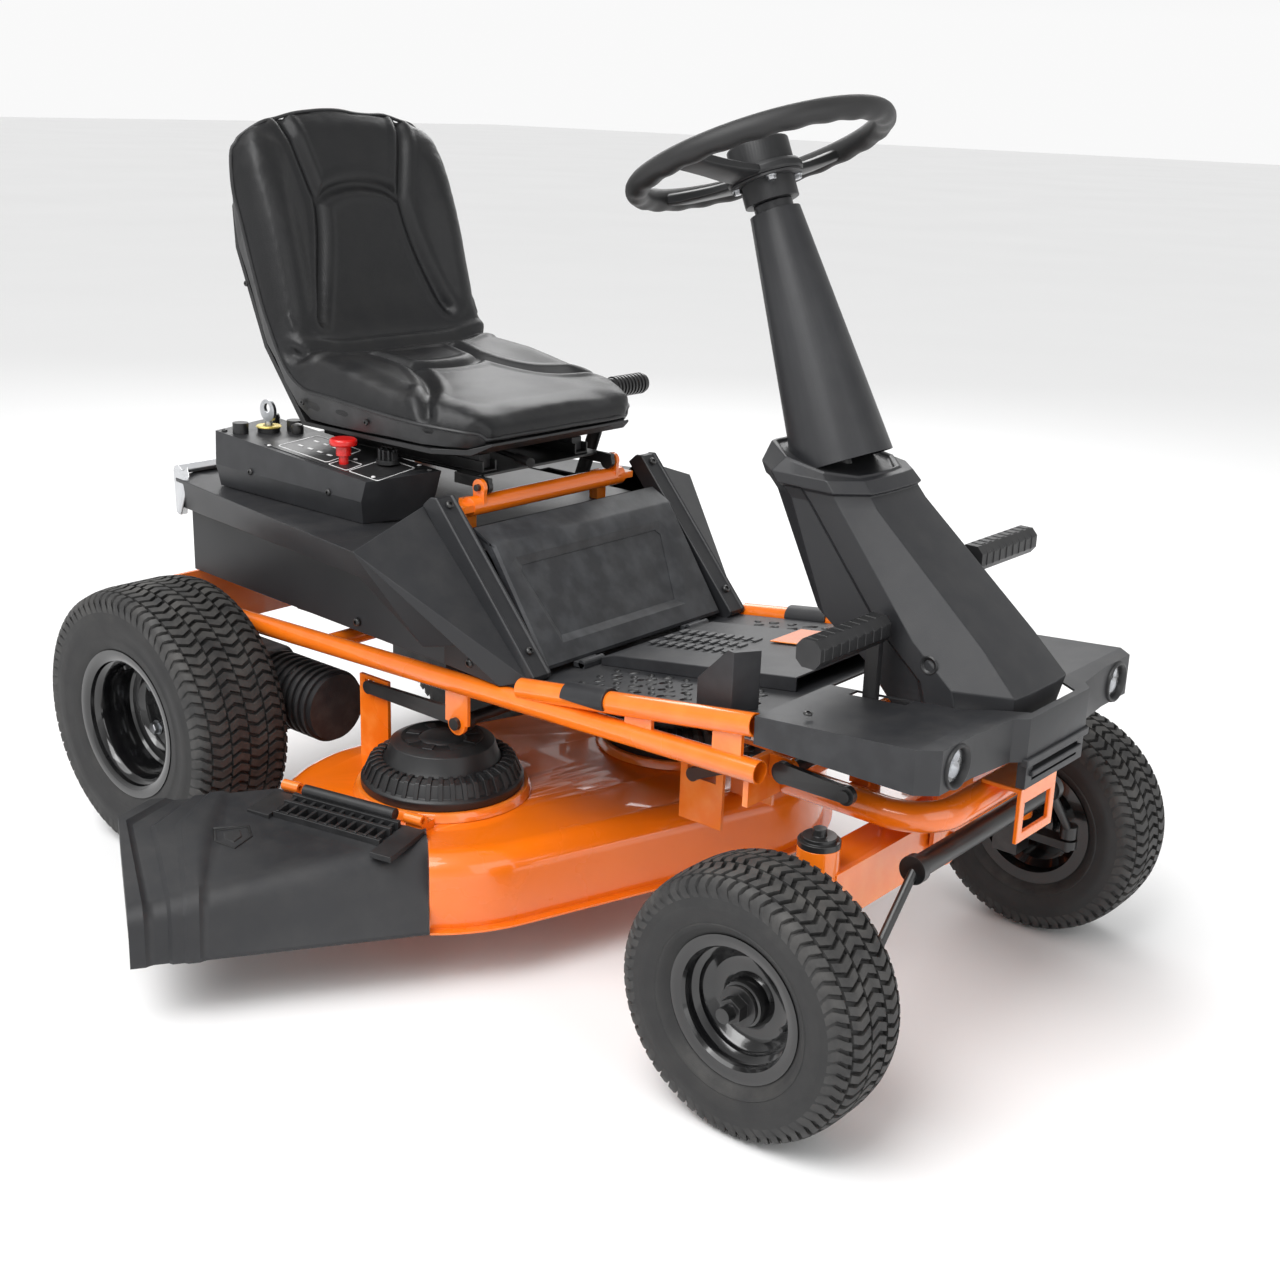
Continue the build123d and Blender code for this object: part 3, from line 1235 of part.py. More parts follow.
def front_lift():
    """Front lift shaft: inner arms down to the deck, outer levers forward."""
    x, z = front_pivot.X, front_pivot.Z
    lift = rod((x, -224, z), (x, 224, z), lift_shaft_dia)
    for side in (-1, 1):
        y0, y1 = sorted((side * (front_arm_y - 4), side * (front_arm_y + 4)))
        arm = prism_xz([(front_lug_x, front_pin_z - 9), (x, z - 12), (x, z + 12), (front_lug_x, front_pin_z + 9)], y0, y1)
        arm = arm + rod((front_lug_x, y0, front_pin_z), (front_lug_x, y1, front_pin_z), 20)
        arm = arm + rod((front_lug_x, side * (front_lug_y - 8), front_pin_z),
                        (front_lug_x, side * (front_arm_y + 4), front_pin_z), lift_pin_dia)
        o0, o1 = sorted((side * 216, side * 224))
        lever = prism_xz([(x, z - 13), (x + 92, z - 12), (x + 92, z + 8), (x, z + 13)], o0, o1)
        lever = lever + rod((x, o0, z), (x, o1, z), 28) + rod((x + 92, o0, z - 2), (x + 92, o1, z - 2), 24)
        lever = lever + rod((x + 92, side * 216, z - 2), (x + 92, side * 228, z - 2), 15)
        lift = lift + arm + lever
    return lift


def height_lever():
    """Flat lever with a pivot stub and a ribbed grip turned outboard."""
    top_x = lever_x + lever_throw
    arm = prism_xz([(lever_x - 13, lever_pivot_z), (lever_x + 13, lever_pivot_z), (top_x + 12, lever_grip_z),
                    (top_x - 12, lever_grip_z)], lever_y - 3, lever_y + 3)
    arm = arm + rod((lever_x, lever_y - 3, lever_pivot_z), (lever_x, lever_y + 3, lever_pivot_z), 34)
    arm = arm + rod((top_x, lever_y - 3, lever_grip_z), (top_x, lever_y + 3, lever_grip_z), 28)
    arm = arm + rod((lever_x, lever_y - 24, lever_pivot_z), (lever_x, lever_y + 6, lever_pivot_z), lever_shaft_dia)
    grip = rod((top_x, lever_y, lever_grip_z), (top_x, lever_y + 82, lever_grip_z), 30)
    for step in range(9):
        y = lever_y + 8 + 8 * step
        grip = grip + rod((top_x, y, lever_grip_z), (top_x, y + 4, lever_grip_z), 34)
    return arm + grip


def lever_bracket():
    """Upright with the bore that the height lever's stub turns in."""
    y0, y1 = lever_y - 18, lever_y - 10
    post = box(lever_x - 16, lever_x + 16, y0, y1, 389, lever_pivot_z)
    post = post + rod((lever_x, y0, lever_pivot_z), (lever_x, y1, lever_pivot_z), 32)
    return post - rod((lever_x, y0 - 1, lever_pivot_z), (lever_x, y1 + 1, lever_pivot_z),
                      lever_shaft_dia + 2 * running_fit)


# --------------------------------------------------------------- small hardware
def body_screws():
    """Pan-head screws of the side strips, console and bumper."""
    screws = []
    run = strip_foot - strip_top
    out = Vector(-run.Z, 0, run.X).normalized()
    for side in (-1, 1):
        for share in (0.06, 0.86):
            foot = strip_top + run * share + Vector(0, side * (strip_y + strip_wide / 2), 0)
            screws.append(rod(foot, foot + out * 4, 11))
    for x in (90, 270):
        screws.append(rod((x, -254, console_floor_z + 36), (x, -258, console_floor_z + 36), 9))
    return group(*screws)


def control_cables():
    """Two black cables that run from the floor's edge to the front lift."""
    cables = []
    for y, start_z in ((-226, 372), (-196, 366)):
        route = [(760, y, start_z), (850, y, start_z - 14), (930, y + 14, start_z - 12), (1000, y + 20, start_z + 4)]
        cables.append(bent_rod(route, 60, 8))
    return group(*cables)


# ----------------------------------------------------------------------- export
def overall_box(shapes):
    """Footprint of every sub-part together."""
    return Compound(list(shapes)).bounding_box()


def build():
    """Every sub-part by node name, still in driving coordinates."""
    parts = {}
    parts["frame_rails"] = frame_rails()
    parts["cross_members"] = group(cross_members(), *lift_hangers(), lever_bracket())
    parts["front_loop"] = group(front_loop(), *pedal_ears())
    parts["tow_bracket"] = tow_bracket()
    parts["rear_hitch"] = rear_hitch()
    parts["seat_frame"] = seat_frame()
    parts["floor_pan"] = floor_pan()
    parts["centre_tunnel"] = centre_tunnel()
    parts["rail_guards"] = rail_guards()
    parts["side_panel_right"] = side_panel(-1)
    parts["side_panel_left"] = side_panel(1)
    parts["rear_panel"] = rear_panel()
    parts["seat_deck"] = seat_deck()
    parts["console_box"] = console_box()
    parts["control_panel"] = control_panel()
    parts["key_switch"] = key_switch()
    parts["ignition_key"] = ignition_key()
    parts["stop_button"] = stop_button()
    parts["speed_knob"] = speed_knob()
    parts["bumper_cover"] = bumper_cover()
    parts["headlight_bezels"] = headlight_bezels()
    parts["light_lenses"] = light_lenses()
    parts["shroud_right"] = shroud_half(-1)
    parts["shroud_left"] = shroud_half(1)
    parts["column_cover"] = column_cover()
    parts["battery_pack"] = battery_pack()
    parts["motor_controller"] = motor_controller()
    parts["drive_motors"] = drive_motors()
    parts["body_screws"] = group(body_screws(), cover_hinge_pins())
    parts["control_cables"] = control_cables()
    parts["axle_beam"] = axle_beam()
    parts["kingpin_caps"] = kingpin_caps()
    parts["tie_rod"] = tie_rod()
    parts["steering_wheel"] = steering_wheel()
    parts["steering_hub"] = steering_hub()
    parts["battery_cover"] = battery_cover()
    parts["seat_base"] = seat_base()
    parts["seat_shell"] = seat_shell()
    parts["seat_cushion"] = seat_cushion()
    parts["slide_lever"] = slide_lever()
    parts["drive_pedal"] = foot_pedal(right_pedal_z, -1)
    parts["brake_pedal"] = foot_pedal(left_pedal_z, 1)
    parts["deck_shell"] = deck_shell()
    parts["deck_motors"] = deck_motors()
    parts["blade_right"] = blade(right_spindle)
    parts["blade_left"] = blade(left_spindle)
    parts["discharge_chute"] = discharge_chute()
    parts["rear_lift"] = rear_lift()
    parts["front_lift"] = front_lift()
    parts["height_lever"] = height_lever()
    for side, name in ((-1, "right"), (1, "left")):
        parts["knuckle_" + name] = knuckle(side)
        parts["front_tyre_" + name], parts["front_rim_" + name] = front_wheel(side)
        parts["rear_tyre_" + name], parts["rear_rim_" + name] = rear_wheel(side)
    return parts


parts = build()
extent = overall_box(parts.values())
centre = Vector((extent.min.X + extent.max.X) / 2, (extent.min.Y + extent.max.Y) / 2, 0)
print("origin moved by", round(-centre.X, 2), round(-centre.Y, 2), "nodes", len(parts))
os.makedirs("parts", exist_ok=True)
for node, shape in parts.items():
    moved = Pos(-centre.X, -centre.Y, 0) * shape
    export_step(moved, "parts/" + node + ".step")
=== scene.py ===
import bpy
import bmesh
import json
import math
from mathutils import Vector, Matrix

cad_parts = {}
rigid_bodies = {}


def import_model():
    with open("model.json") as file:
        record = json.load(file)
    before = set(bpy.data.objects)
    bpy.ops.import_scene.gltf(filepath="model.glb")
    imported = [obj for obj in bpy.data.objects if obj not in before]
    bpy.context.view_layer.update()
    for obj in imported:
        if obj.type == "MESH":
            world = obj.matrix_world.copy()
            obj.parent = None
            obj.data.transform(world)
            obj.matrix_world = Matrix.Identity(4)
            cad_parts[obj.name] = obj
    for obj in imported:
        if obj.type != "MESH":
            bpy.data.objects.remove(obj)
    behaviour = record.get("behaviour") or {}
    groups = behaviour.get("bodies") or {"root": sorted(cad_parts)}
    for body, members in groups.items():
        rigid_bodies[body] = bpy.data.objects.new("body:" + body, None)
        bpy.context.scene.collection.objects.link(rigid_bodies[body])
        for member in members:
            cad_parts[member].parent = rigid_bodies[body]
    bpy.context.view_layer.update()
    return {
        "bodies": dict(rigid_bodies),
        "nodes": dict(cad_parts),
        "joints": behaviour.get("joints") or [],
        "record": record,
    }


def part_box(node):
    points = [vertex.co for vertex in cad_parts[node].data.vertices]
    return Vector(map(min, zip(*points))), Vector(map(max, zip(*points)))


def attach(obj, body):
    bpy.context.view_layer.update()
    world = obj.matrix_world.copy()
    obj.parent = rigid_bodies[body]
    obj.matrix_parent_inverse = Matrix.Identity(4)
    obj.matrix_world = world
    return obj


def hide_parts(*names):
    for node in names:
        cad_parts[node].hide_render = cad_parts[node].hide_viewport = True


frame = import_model()
nodes = frame["nodes"]
record = frame["record"]
bodyOfNode = {n: b for b, names in record["behaviour"]["bodies"].items() for n in names}

# Lengths below are in millimetres on the mower itself: x ahead of the rear axle,
# y to the driver's left of the middle, z above the ground.
axleLow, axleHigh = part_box("axle_beam")
wheelbase = 1140.0
originX = (axleLow[0] + axleHigh[0]) / 2 - wheelbase / 1000
originY = (axleLow[1] + axleHigh[1]) / 2


def at(x, y, z):
    return Vector((x / 1000 + originX, y / 1000 + originY, z / 1000))


# the camera stands ahead of the right front wheel and a little above the seat; angles in degrees
view = {"place": (2110, -1766, 1144), "turn": 39.58, "down": 18.02, "roll": 2.02, "lens": 46.86}


def makeCamera():
    a, e, r = (math.radians(view[k]) for k in ("turn", "down", "roll"))
    back = Vector((math.sin(a) * math.cos(e), -math.cos(a) * math.cos(e), math.sin(e)))
    right = Vector((math.cos(a), math.sin(a), 0))
    up = back.cross(right)
    rolledRight = right * math.cos(r) + up * math.sin(r)
    rolledUp = up * math.cos(r) - right * math.sin(r)
    data = bpy.data.cameras.new("studioCamera")
    data.lens = view["lens"]
    data.sensor_width = 36
    data.clip_start = 0.05
    camera = bpy.data.objects.new("studioCamera", data)
    turn = Matrix((rolledRight, rolledUp, back)).transposed().to_4x4()
    camera.matrix_world = Matrix.Translation(at(*view["place"])) @ turn
    bpy.context.collection.objects.link(camera)
    bpy.context.scene.camera = camera


makeCamera()
print("camera ready")


# mesh makers: each gives (points, faces) in mower millimetres
def block(x0, x1, y0, y1, z0, z1):
    pts = [(x, y, z) for x in (x0, x1) for y in (y0, y1) for z in (z0, z1)]
    return pts, [(0, 1, 3, 2), (4, 6, 7, 5), (0, 4, 5, 1), (2, 3, 7, 6), (0, 2, 6, 4), (1, 5, 7, 3)]


def loft(rings, caps=True, ringClosed=True, lengthClosed=False):
    count = len(rings[0])
    pts = [tuple(p) for ring in rings for p in ring]
    faces = []
    spans = len(rings) if lengthClosed else len(rings) - 1
    for i in range(spans):
        j = (i + 1) % len(rings)
        for k in range(count if ringClosed else count - 1):
            m = (k + 1) % count
            faces.append((i * count + k, i * count + m, j * count + m, j * count + k))
    if caps and not lengthClosed:
        faces.append(tuple(range(count))[::-1])
        faces.append(tuple((len(rings) - 1) * count + k for k in range(count)))
    return pts, faces


def frameFor(axis):
    w = Vector(axis).normalized()
    side = Vector((0, 0, 1)) if abs(w.z) < 0.9 else Vector((1, 0, 0))
    u = side.cross(w).normalized()
    return u, w.cross(u), w


def lathe(profile, centre, axis, steps=64, closed=False):
    # profile is (radius, distance along the axis)
    u, v, w = frameFor(axis)
    centre = Vector(centre)
    rings = []
    for s in range(steps):
        t = 2 * math.pi * s / steps
        out = u * math.cos(t) + v * math.sin(t)
        rings.append([centre + out * r + w * d for r, d in profile])
    return loft(rings, caps=False, ringClosed=closed, lengthClosed=True)


def smoothPath(points, per=6):
    pts = [Vector(p) for p in points]
    out = []
    for i in range(len(pts) - 1):
        a = pts[max(i - 1, 0)]
        b, c = pts[i], pts[i + 1]
        d = pts[min(i + 2, len(pts) - 1)]
        for s in range(per):
            t = s / per
            bend = (2 * a - 5 * b + 4 * c - d) * t * t + (3 * b - a - 3 * c + d) * t ** 3
            out.append(0.5 * (2 * b + (c - a) * t + bend))
    return out + [pts[-1]]


def pipe(points, radius, sides=14, flat=1.0):
    pts = [Vector(p) for p in points]
    rings = []
    side = None
    for i, p in enumerate(pts):
        run = (pts[min(i + 1, len(pts) - 1)] - pts[max(i - 1, 0)]).normalized()
        if side is None:
            side = frameFor(run)[0]
        side = (side - run * side.dot(run)).normalized()
        other = run.cross(side)
        r = radius[i] if isinstance(radius, (list, tuple)) else radius
        rings.append([p + (side * math.cos(a) + other * math.sin(a) * flat) * r
                      for a in (2 * math.pi * k / sides for k in range(sides))])
    return loft(rings)


def prism(outline, offset):
    low = [Vector(p) for p in outline]
    high = [p + Vector(offset) for p in low]
    return loft([low, high])


def boltHead(foot, axis, width=13, height=6, washer=18):
    # hexagon head on a round washer; width is across the flats
    u, v, w = frameFor(axis)
    foot = Vector(foot)
    corner = width * 0.577
    sink = 1.4
    hexRing = [(u * math.cos(math.pi * k / 3) + v * math.sin(math.pi * k / 3)) * corner for k in range(6)]
    head = loft([[foot + w * (sink + rise) + h * grow for h in hexRing]
                 for rise, grow in ((0, 1), (height * 0.85, 1), (height, 0.86))])
    return [lathe([(0, 0), (washer / 2, 0), (washer / 2, 1.6), (0, 1.6)], foot, axis, 24), head]


def panScrew(foot, axis, width=11, height=3.6):
    # domed head with a round socket
    r = width / 2
    dome = lathe([(0, 0), (r, 0), (r, height * 0.35), (r * 0.86, height * 0.8), (r * 0.45, height),
                  (r * 0.42, height * 0.45), (0, height * 0.45)], foot, axis, 24)
    return [dome]


def gather(*made):
    pts, faces = [], []
    for item in made:
        for p, f in (item if isinstance(item, list) else [item]):
            start = len(pts)
            pts.extend(tuple(q) for q in p)
            faces.extend(tuple(i + start for i in face) for face in f)
    return pts, faces


def finish(piece, bevel, segments, angle):
    if bevel:
        mod = piece.modifiers.new("softEdge", "BEVEL")
        mod.width = bevel / 1000
        mod.segments = segments
        mod.limit_method = "ANGLE"
        mod.angle_limit = math.radians(angle)
        mod.use_clamp_overlap = True
        mod.harden_normals = True


def makePiece(name, made, paint, body, replaced=(), bevel=0, segments=2, angle=32, sharp=38,
              weld=True):
    # bevel is in millimetres, angle and sharp in degrees
    pts, faces = gather(made) if isinstance(made, list) else made
    mesh = bpy.data.meshes.new(name)
    mesh.from_pydata([at(*p) for p in pts], [], faces)
    bm = bmesh.new()
    bm.from_mesh(mesh)
    if weld:
        bmesh.ops.remove_doubles(bm, verts=bm.verts, dist=1e-5)
    bmesh.ops.recalc_face_normals(bm, faces=bm.faces)
    bm.to_mesh(mesh)
    bm.free()
    mesh.materials.append(paint)
    mesh.shade_smooth()
    mesh.set_sharp_from_angle(angle=math.radians(sharp))
    piece = bpy.data.objects.new(name, mesh)
    bpy.context.collection.objects.link(piece)
    finish(piece, bevel, segments, angle)
    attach(piece, body)
    if replaced:
        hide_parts(*replaced)
    return piece


def softened(node, paint, bevel=1.5, segments=2, flat=1.2):
    # a copy of a frame node's mesh with its flat faces joined up and its edges rounded
    mesh = nodes[node].data.copy()
    mesh.materials.clear()
    mesh.materials.append(paint)
    bm = bmesh.new()
    bm.from_mesh(mesh)
    bmesh.ops.remove_doubles(bm, verts=bm.verts, dist=2e-5)
    bmesh.ops.dissolve_limit(bm, angle_limit=math.radians(flat), verts=bm.verts, edges=bm.edges)
    for face in bm.faces:
        face.material_index = 0
    bm.to_mesh(mesh)
    bm.free()
    mesh.shade_smooth()
    mesh.set_sharp_from_angle(angle=math.radians(38))
    piece = bpy.data.objects.new(node + "_look", mesh)
    bpy.context.collection.objects.link(piece)
    finish(piece, bevel, segments, 32)
    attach(piece, bodyOfNode[node])
    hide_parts(node)
    return piece


# shader groups shared by the finishes
def newGroup(name, inputs, outputs):
    group = bpy.data.node_groups.new(name, "ShaderNodeTree")
    for label, kind, value in inputs:
        socket = group.interface.new_socket(name=label, in_out="INPUT", socket_type=kind)
        socket.default_value = value
    for label, kind in outputs:
        group.interface.new_socket(name=label, in_out="OUTPUT", socket_type=kind)
    return group, group.nodes.new("NodeGroupInput"), group.nodes.new("NodeGroupOutput")


def addNode(tree, kind, **values):
    node = tree.nodes.new(kind)
    for key, value in values.items():
        if hasattr(node, key):
            setattr(node, key, value)
        else:
            node.inputs[key.replace("_", " ")].default_value = value
    return node


def spread(tree, source, low, high, toLow, toHigh):
    node = tree.nodes.new("ShaderNodeMapRange")
    node.inputs["From Min"].default_value = low
    node.inputs["From Max"].default_value = high
    for key, value in (("To Min", toLow), ("To Max", toHigh)):
        if isinstance(value, (int, float)):
            node.inputs[key].default_value = value
        else:
            tree.links.new(value, node.inputs[key])
    tree.links.new(source, node.inputs["Value"])
    return node.outputs["Result"]


def blendColours(tree, factor, first, second):
    node = tree.nodes.new("ShaderNodeMix")
    node.data_type = "RGBA"
    tree.links.new(factor, node.inputs[0])
    tree.links.new(first, node.inputs[6])
    tree.links.new(second, node.inputs[7])
    return node.outputs[2]


def makeGrain():
    # fine speckle and slow clouding of colour, roughness and height
    g, gin, gout = newGroup("surfaceGrain", [
        ("Base", "NodeSocketColor", (0.1, 0.1, 0.1, 1)), ("Cloud", "NodeSocketColor", (0.2, 0.2, 0.2, 1)),
        ("Grain Scale", "NodeSocketFloat", 900.0), ("Cloud Scale", "NodeSocketFloat", 7.0),
        ("Rough Low", "NodeSocketFloat", 0.4), ("Rough High", "NodeSocketFloat", 0.55)],
        [("Color", "NodeSocketColor"), ("Roughness", "NodeSocketFloat"), ("Height", "NodeSocketFloat")])
    place = g.nodes.new("ShaderNodeTexCoord").outputs["Object"]
    fine = addNode(g, "ShaderNodeTexNoise", Detail=3.0)
    cloud = addNode(g, "ShaderNodeTexNoise", Detail=5.0)
    for tex, key in ((fine, "Grain Scale"), (cloud, "Cloud Scale")):
        g.links.new(place, tex.inputs["Vector"])
        g.links.new(gin.outputs[key], tex.inputs["Scale"])
    amount = spread(g, cloud.outputs["Fac"], 0.35, 0.7, 0.0, 1.0)
    colour = blendColours(g, amount, gin.outputs["Base"], gin.outputs["Cloud"])
    rough = spread(g, cloud.outputs["Fac"], 0.3, 0.7, gin.outputs["Rough Low"], gin.outputs["Rough High"])
    g.links.new(colour, gout.inputs["Color"])
    g.links.new(rough, gout.inputs["Roughness"])
    g.links.new(fine.outputs["Fac"], gout.inputs["Height"])
    return g


def makeEdgeHighlight():
    # painted edge highlight: convex edges and corners coloured lighter, in patches
    g, gin, gout = newGroup("paintedEdgeHighlight", [
        ("Color", "NodeSocketColor", (0.1, 0.1, 0.1, 1)), ("Painted Highlight", "NodeSocketColor", (0.3, 0.3, 0.3, 1)),
        ("Start", "NodeSocketFloat", 0.53), ("End", "NodeSocketFloat", 0.62)],
        [("Color", "NodeSocketColor"), ("Mask", "NodeSocketFloat")])
    point = g.nodes.new("ShaderNodeNewGeometry").outputs["Pointiness"]
    edge = g.nodes.new("ShaderNodeMapRange")
    g.links.new(point, edge.inputs["Value"])
    g.links.new(gin.outputs["Start"], edge.inputs["From Min"])
    g.links.new(gin.outputs["End"], edge.inputs["From Max"])
    patch = addNode(g, "ShaderNodeTexNoise", Scale=35.0, Detail=4.0)
    g.links.new(g.nodes.new("ShaderNodeTexCoord").outputs["Object"], patch.inputs["Vector"])
    part = spread(g, patch.outputs["Fac"], 0.4, 0.65, 0.25, 1.0)
    mask = g.nodes.new("ShaderNodeMath")
    mask.operation = "MULTIPLY"
    g.links.new(edge.outputs["Result"], mask.inputs[0])
    g.links.new(part, mask.inputs[1])
    colour = blendColours(g, mask.outputs[0], gin.outputs["Color"], gin.outputs["Painted Highlight"])
    g.links.new(colour, gout.inputs["Color"])
    g.links.new(mask.outputs[0], gout.inputs["Mask"])
    return g


def makeDustAndSheen():
    # thin pale film on faces that look up: dust, and a painted sheen where the light from above falls
    g, gin, gout = newGroup("dustAndSheenFilm", [
        ("Color", "NodeSocketColor", (0.1, 0.1, 0.1, 1)), ("Dust And Sheen", "NodeSocketColor", (0.3, 0.28, 0.25, 1)),
        ("Amount", "NodeSocketFloat", 0.2)], [("Color", "NodeSocketColor"), ("Mask", "NodeSocketFloat")])
    split = g.nodes.new("ShaderNodeSeparateXYZ")
    g.links.new(g.nodes.new("ShaderNodeNewGeometry").outputs["Normal"], split.inputs[0])
    patch = addNode(g, "ShaderNodeTexNoise", Scale=22.0, Detail=6.0, Roughness=0.65)
    g.links.new(g.nodes.new("ShaderNodeTexCoord").outputs["Object"], patch.inputs["Vector"])
    up = spread(g, split.outputs["Z"], 0.1, 1.0, 0.15, 1.0)
    part = spread(g, patch.outputs["Fac"], 0.4, 0.75, 0.0, gin.outputs["Amount"])
    mask = g.nodes.new("ShaderNodeMath")
    mask.operation = "MULTIPLY"
    g.links.new(up, mask.inputs[0])
    g.links.new(part, mask.inputs[1])
    colour = blendColours(g, mask.outputs[0], gin.outputs["Color"], gin.outputs["Dust And Sheen"])
    g.links.new(colour, gout.inputs["Color"])
    g.links.new(mask.outputs[0], gout.inputs["Mask"])
    return g


grainGroup = makeGrain()
edgeHighlightGroup = makeEdgeHighlight()
dustAndSheenGroup = makeDustAndSheen()


def tone(*rgb):
    return (*rgb, 1.0)


def finishPaint(name, base, cloud, highlightColour, grainScale, cloudScale, rough, bump, dustAndSheen=0.0, metallic=0.0,
                coat=0.0, coatRough=0.1, specular=0.5, highlightSpan=(0.53, 0.63)):
    # rough is (low, high) and bump (strength, distance in metres); the painted edge highlight runs over the
    # given span of pointiness
    mat = bpy.data.materials.new(name)
    mat.use_nodes = True
    tree = mat.node_tree
    shader = tree.nodes["Principled BSDF"]
    grain = addNode(tree, "ShaderNodeGroup", node_tree=grainGroup)
    highlightNode = addNode(tree, "ShaderNodeGroup", node_tree=edgeHighlightGroup)
    film = addNode(tree, "ShaderNodeGroup", node_tree=dustAndSheenGroup)
    for key, value in (("Base", tone(*base)), ("Cloud", tone(*cloud)), ("Grain Scale", grainScale),
                       ("Cloud Scale", cloudScale), ("Rough Low", rough[0]), ("Rough High", rough[1])):
        grain.inputs[key].default_value = value
    # painted edge highlight: a lighter copy of the colour laid along convex edges
    highlightNode.inputs["Painted Highlight"].default_value = tone(*highlightColour)
    highlightNode.inputs["Start"].default_value = highlightSpan[0]
    highlightNode.inputs["End"].default_value = highlightSpan[1]
    # pale film on up-facing faces: dust together with a painted sheen from the light above
    film.inputs["Amount"].default_value = dustAndSheen
    tree.links.new(grain.outputs["Color"], highlightNode.inputs["Color"])
    tree.links.new(highlightNode.outputs["Color"], film.inputs["Color"])
    tree.links.new(film.outputs["Color"], shader.inputs["Base Color"])
    tree.links.new(grain.outputs["Roughness"], shader.inputs["Roughness"])
    lift = tree.nodes.new("ShaderNodeBump")
    lift.inputs["Strength"].default_value = bump[0]
    lift.inputs["Distance"].default_value = bump[1]
    tree.links.new(grain.outputs["Height"], lift.inputs["Height"])
    tree.links.new(lift.outputs["Normal"], shader.inputs["Normal"])
    shader.inputs["Metallic"].default_value = metallic
    shader.inputs["Coat Weight"].default_value = coat
    shader.inputs["Coat Roughness"].default_value = coatRough
    shader.inputs["Specular IOR Level"].default_value = specular
    return mat


# in each finish below the lighter edge colour is a painted edge highlight
orangePaint = finishPaint(
    "orangePaint", base=(0.87, 0.172, 0.003), cloud=(0.83, 0.155, 0.003),
    highlightColour=(0.95, 0.30, 0.05), grainScale=420, cloudScale=5, rough=(0.20, 0.30), bump=(0.06, 0.0003),
    dustAndSheen=0.02, coat=0.9, coatRough=0.04)
blackMoulding = finishPaint(
    "blackMoulding", base=(0.0130, 0.0135, 0.0155), cloud=(0.0165, 0.0172, 0.0195),
    highlightColour=(0.040, 0.042, 0.046), grainScale=1100, cloudScale=6, rough=(0.40, 0.50), bump=(0.30, 0.0004),
    dustAndSheen=0.05)
blackTrim = finishPaint(
    "blackTrim", base=(0.0075, 0.0078, 0.0085), cloud=(0.0105, 0.0108, 0.0118),
    highlightColour=(0.034, 0.034, 0.036), grainScale=900, cloudScale=8, rough=(0.36, 0.48), bump=(0.2, 0.0003),
    dustAndSheen=0.04)
blackSteel = finishPaint(
    "blackSteel", base=(0.0060, 0.0060, 0.0065), cloud=(0.0095, 0.0095, 0.0100),
    highlightColour=(0.06, 0.06, 0.06), grainScale=500, cloudScale=9, rough=(0.28, 0.42), bump=(0.15, 0.0003),
    dustAndSheen=0.05, coat=0.15)
rimPaint = finishPaint(
    "rimPaint", base=(0.0035, 0.0035, 0.0040), cloud=(0.0050, 0.0050, 0.0055),
    highlightColour=(0.02, 0.02, 0.02), grainScale=300, cloudScale=5, rough=(0.12, 0.20), bump=(0.05, 0.0002),
    dustAndSheen=0.02, coat=0.6, coatRough=0.05)
# the strong pale film on the up-facing tread is dust plus a painted sheen, and the lighter edge colour is a
# painted edge highlight
tyreRubber = finishPaint(
    "tyreRubber", base=(0.0125, 0.0125, 0.0130), cloud=(0.0185, 0.0185, 0.0190),
    highlightColour=(0.040, 0.039, 0.038), grainScale=700, cloudScale=14, rough=(0.58, 0.78), bump=(0.45, 0.0006),
    dustAndSheen=0.18, highlightSpan=(0.52, 0.60))
gripRubber = finishPaint(
    "gripRubber", base=(0.0085, 0.0085, 0.0090), cloud=(0.0125, 0.0125, 0.0130),
    highlightColour=(0.03, 0.03, 0.031), grainScale=1500, cloudScale=12, rough=(0.44, 0.58), bump=(0.5, 0.0004),
    dustAndSheen=0.04)
zincSteel = finishPaint(
    "zincSteel", base=(0.55, 0.56, 0.58), cloud=(0.42, 0.44, 0.46),
    highlightColour=(0.8, 0.8, 0.8), grainScale=600, cloudScale=30, rough=(0.24, 0.40), bump=(0.15, 0.0002),
    metallic=1.0)
castAlloy = finishPaint(
    "castAlloy", base=(0.022, 0.022, 0.024), cloud=(0.034, 0.034, 0.036),
    highlightColour=(0.2, 0.2, 0.2), grainScale=500, cloudScale=18, rough=(0.45, 0.6), bump=(0.6, 0.0006),
    dustAndSheen=0.08, metallic=0.5)
stopRed = finishPaint(
    "stopRed", base=(0.62, 0.010, 0.008), cloud=(0.55, 0.008, 0.006),
    highlightColour=(0.8, 0.08, 0.05), grainScale=300, cloudScale=12, rough=(0.25, 0.34), bump=(0.06, 0.0002),
    coat=0.3)
whitePrint = finishPaint(
    "whitePrint", base=(0.62, 0.62, 0.62), cloud=(0.5, 0.5, 0.5),
    highlightColour=(0.8, 0.8, 0.8), grainScale=900, cloudScale=20, rough=(0.4, 0.5), bump=(0.05, 0.0001))
brassYellow = finishPaint(
    "brassYellow", base=(0.60, 0.44, 0.06), cloud=(0.5, 0.36, 0.05),
    highlightColour=(0.8, 0.7, 0.3), grainScale=700, cloudScale=20, rough=(0.3, 0.4), bump=(0.1, 0.0002), metallic=0.6)
silverLens = finishPaint(
    "silverLens", base=(0.55, 0.56, 0.58), cloud=(0.42, 0.43, 0.45),
    highlightColour=(0.7, 0.7, 0.7), grainScale=500, cloudScale=15, rough=(0.15, 0.25), bump=(0.1, 0.0002),
    metallic=0.2, coat=0.5)
chromeDish = finishPaint(
    "chromeDish", base=(0.86, 0.87, 0.90), cloud=(0.74, 0.75, 0.78),
    highlightColour=(0.95, 0.95, 0.95), grainScale=200, cloudScale=30, rough=(0.12, 0.20), bump=(0.05, 0.0001),
    metallic=0.35, coat=0.5)


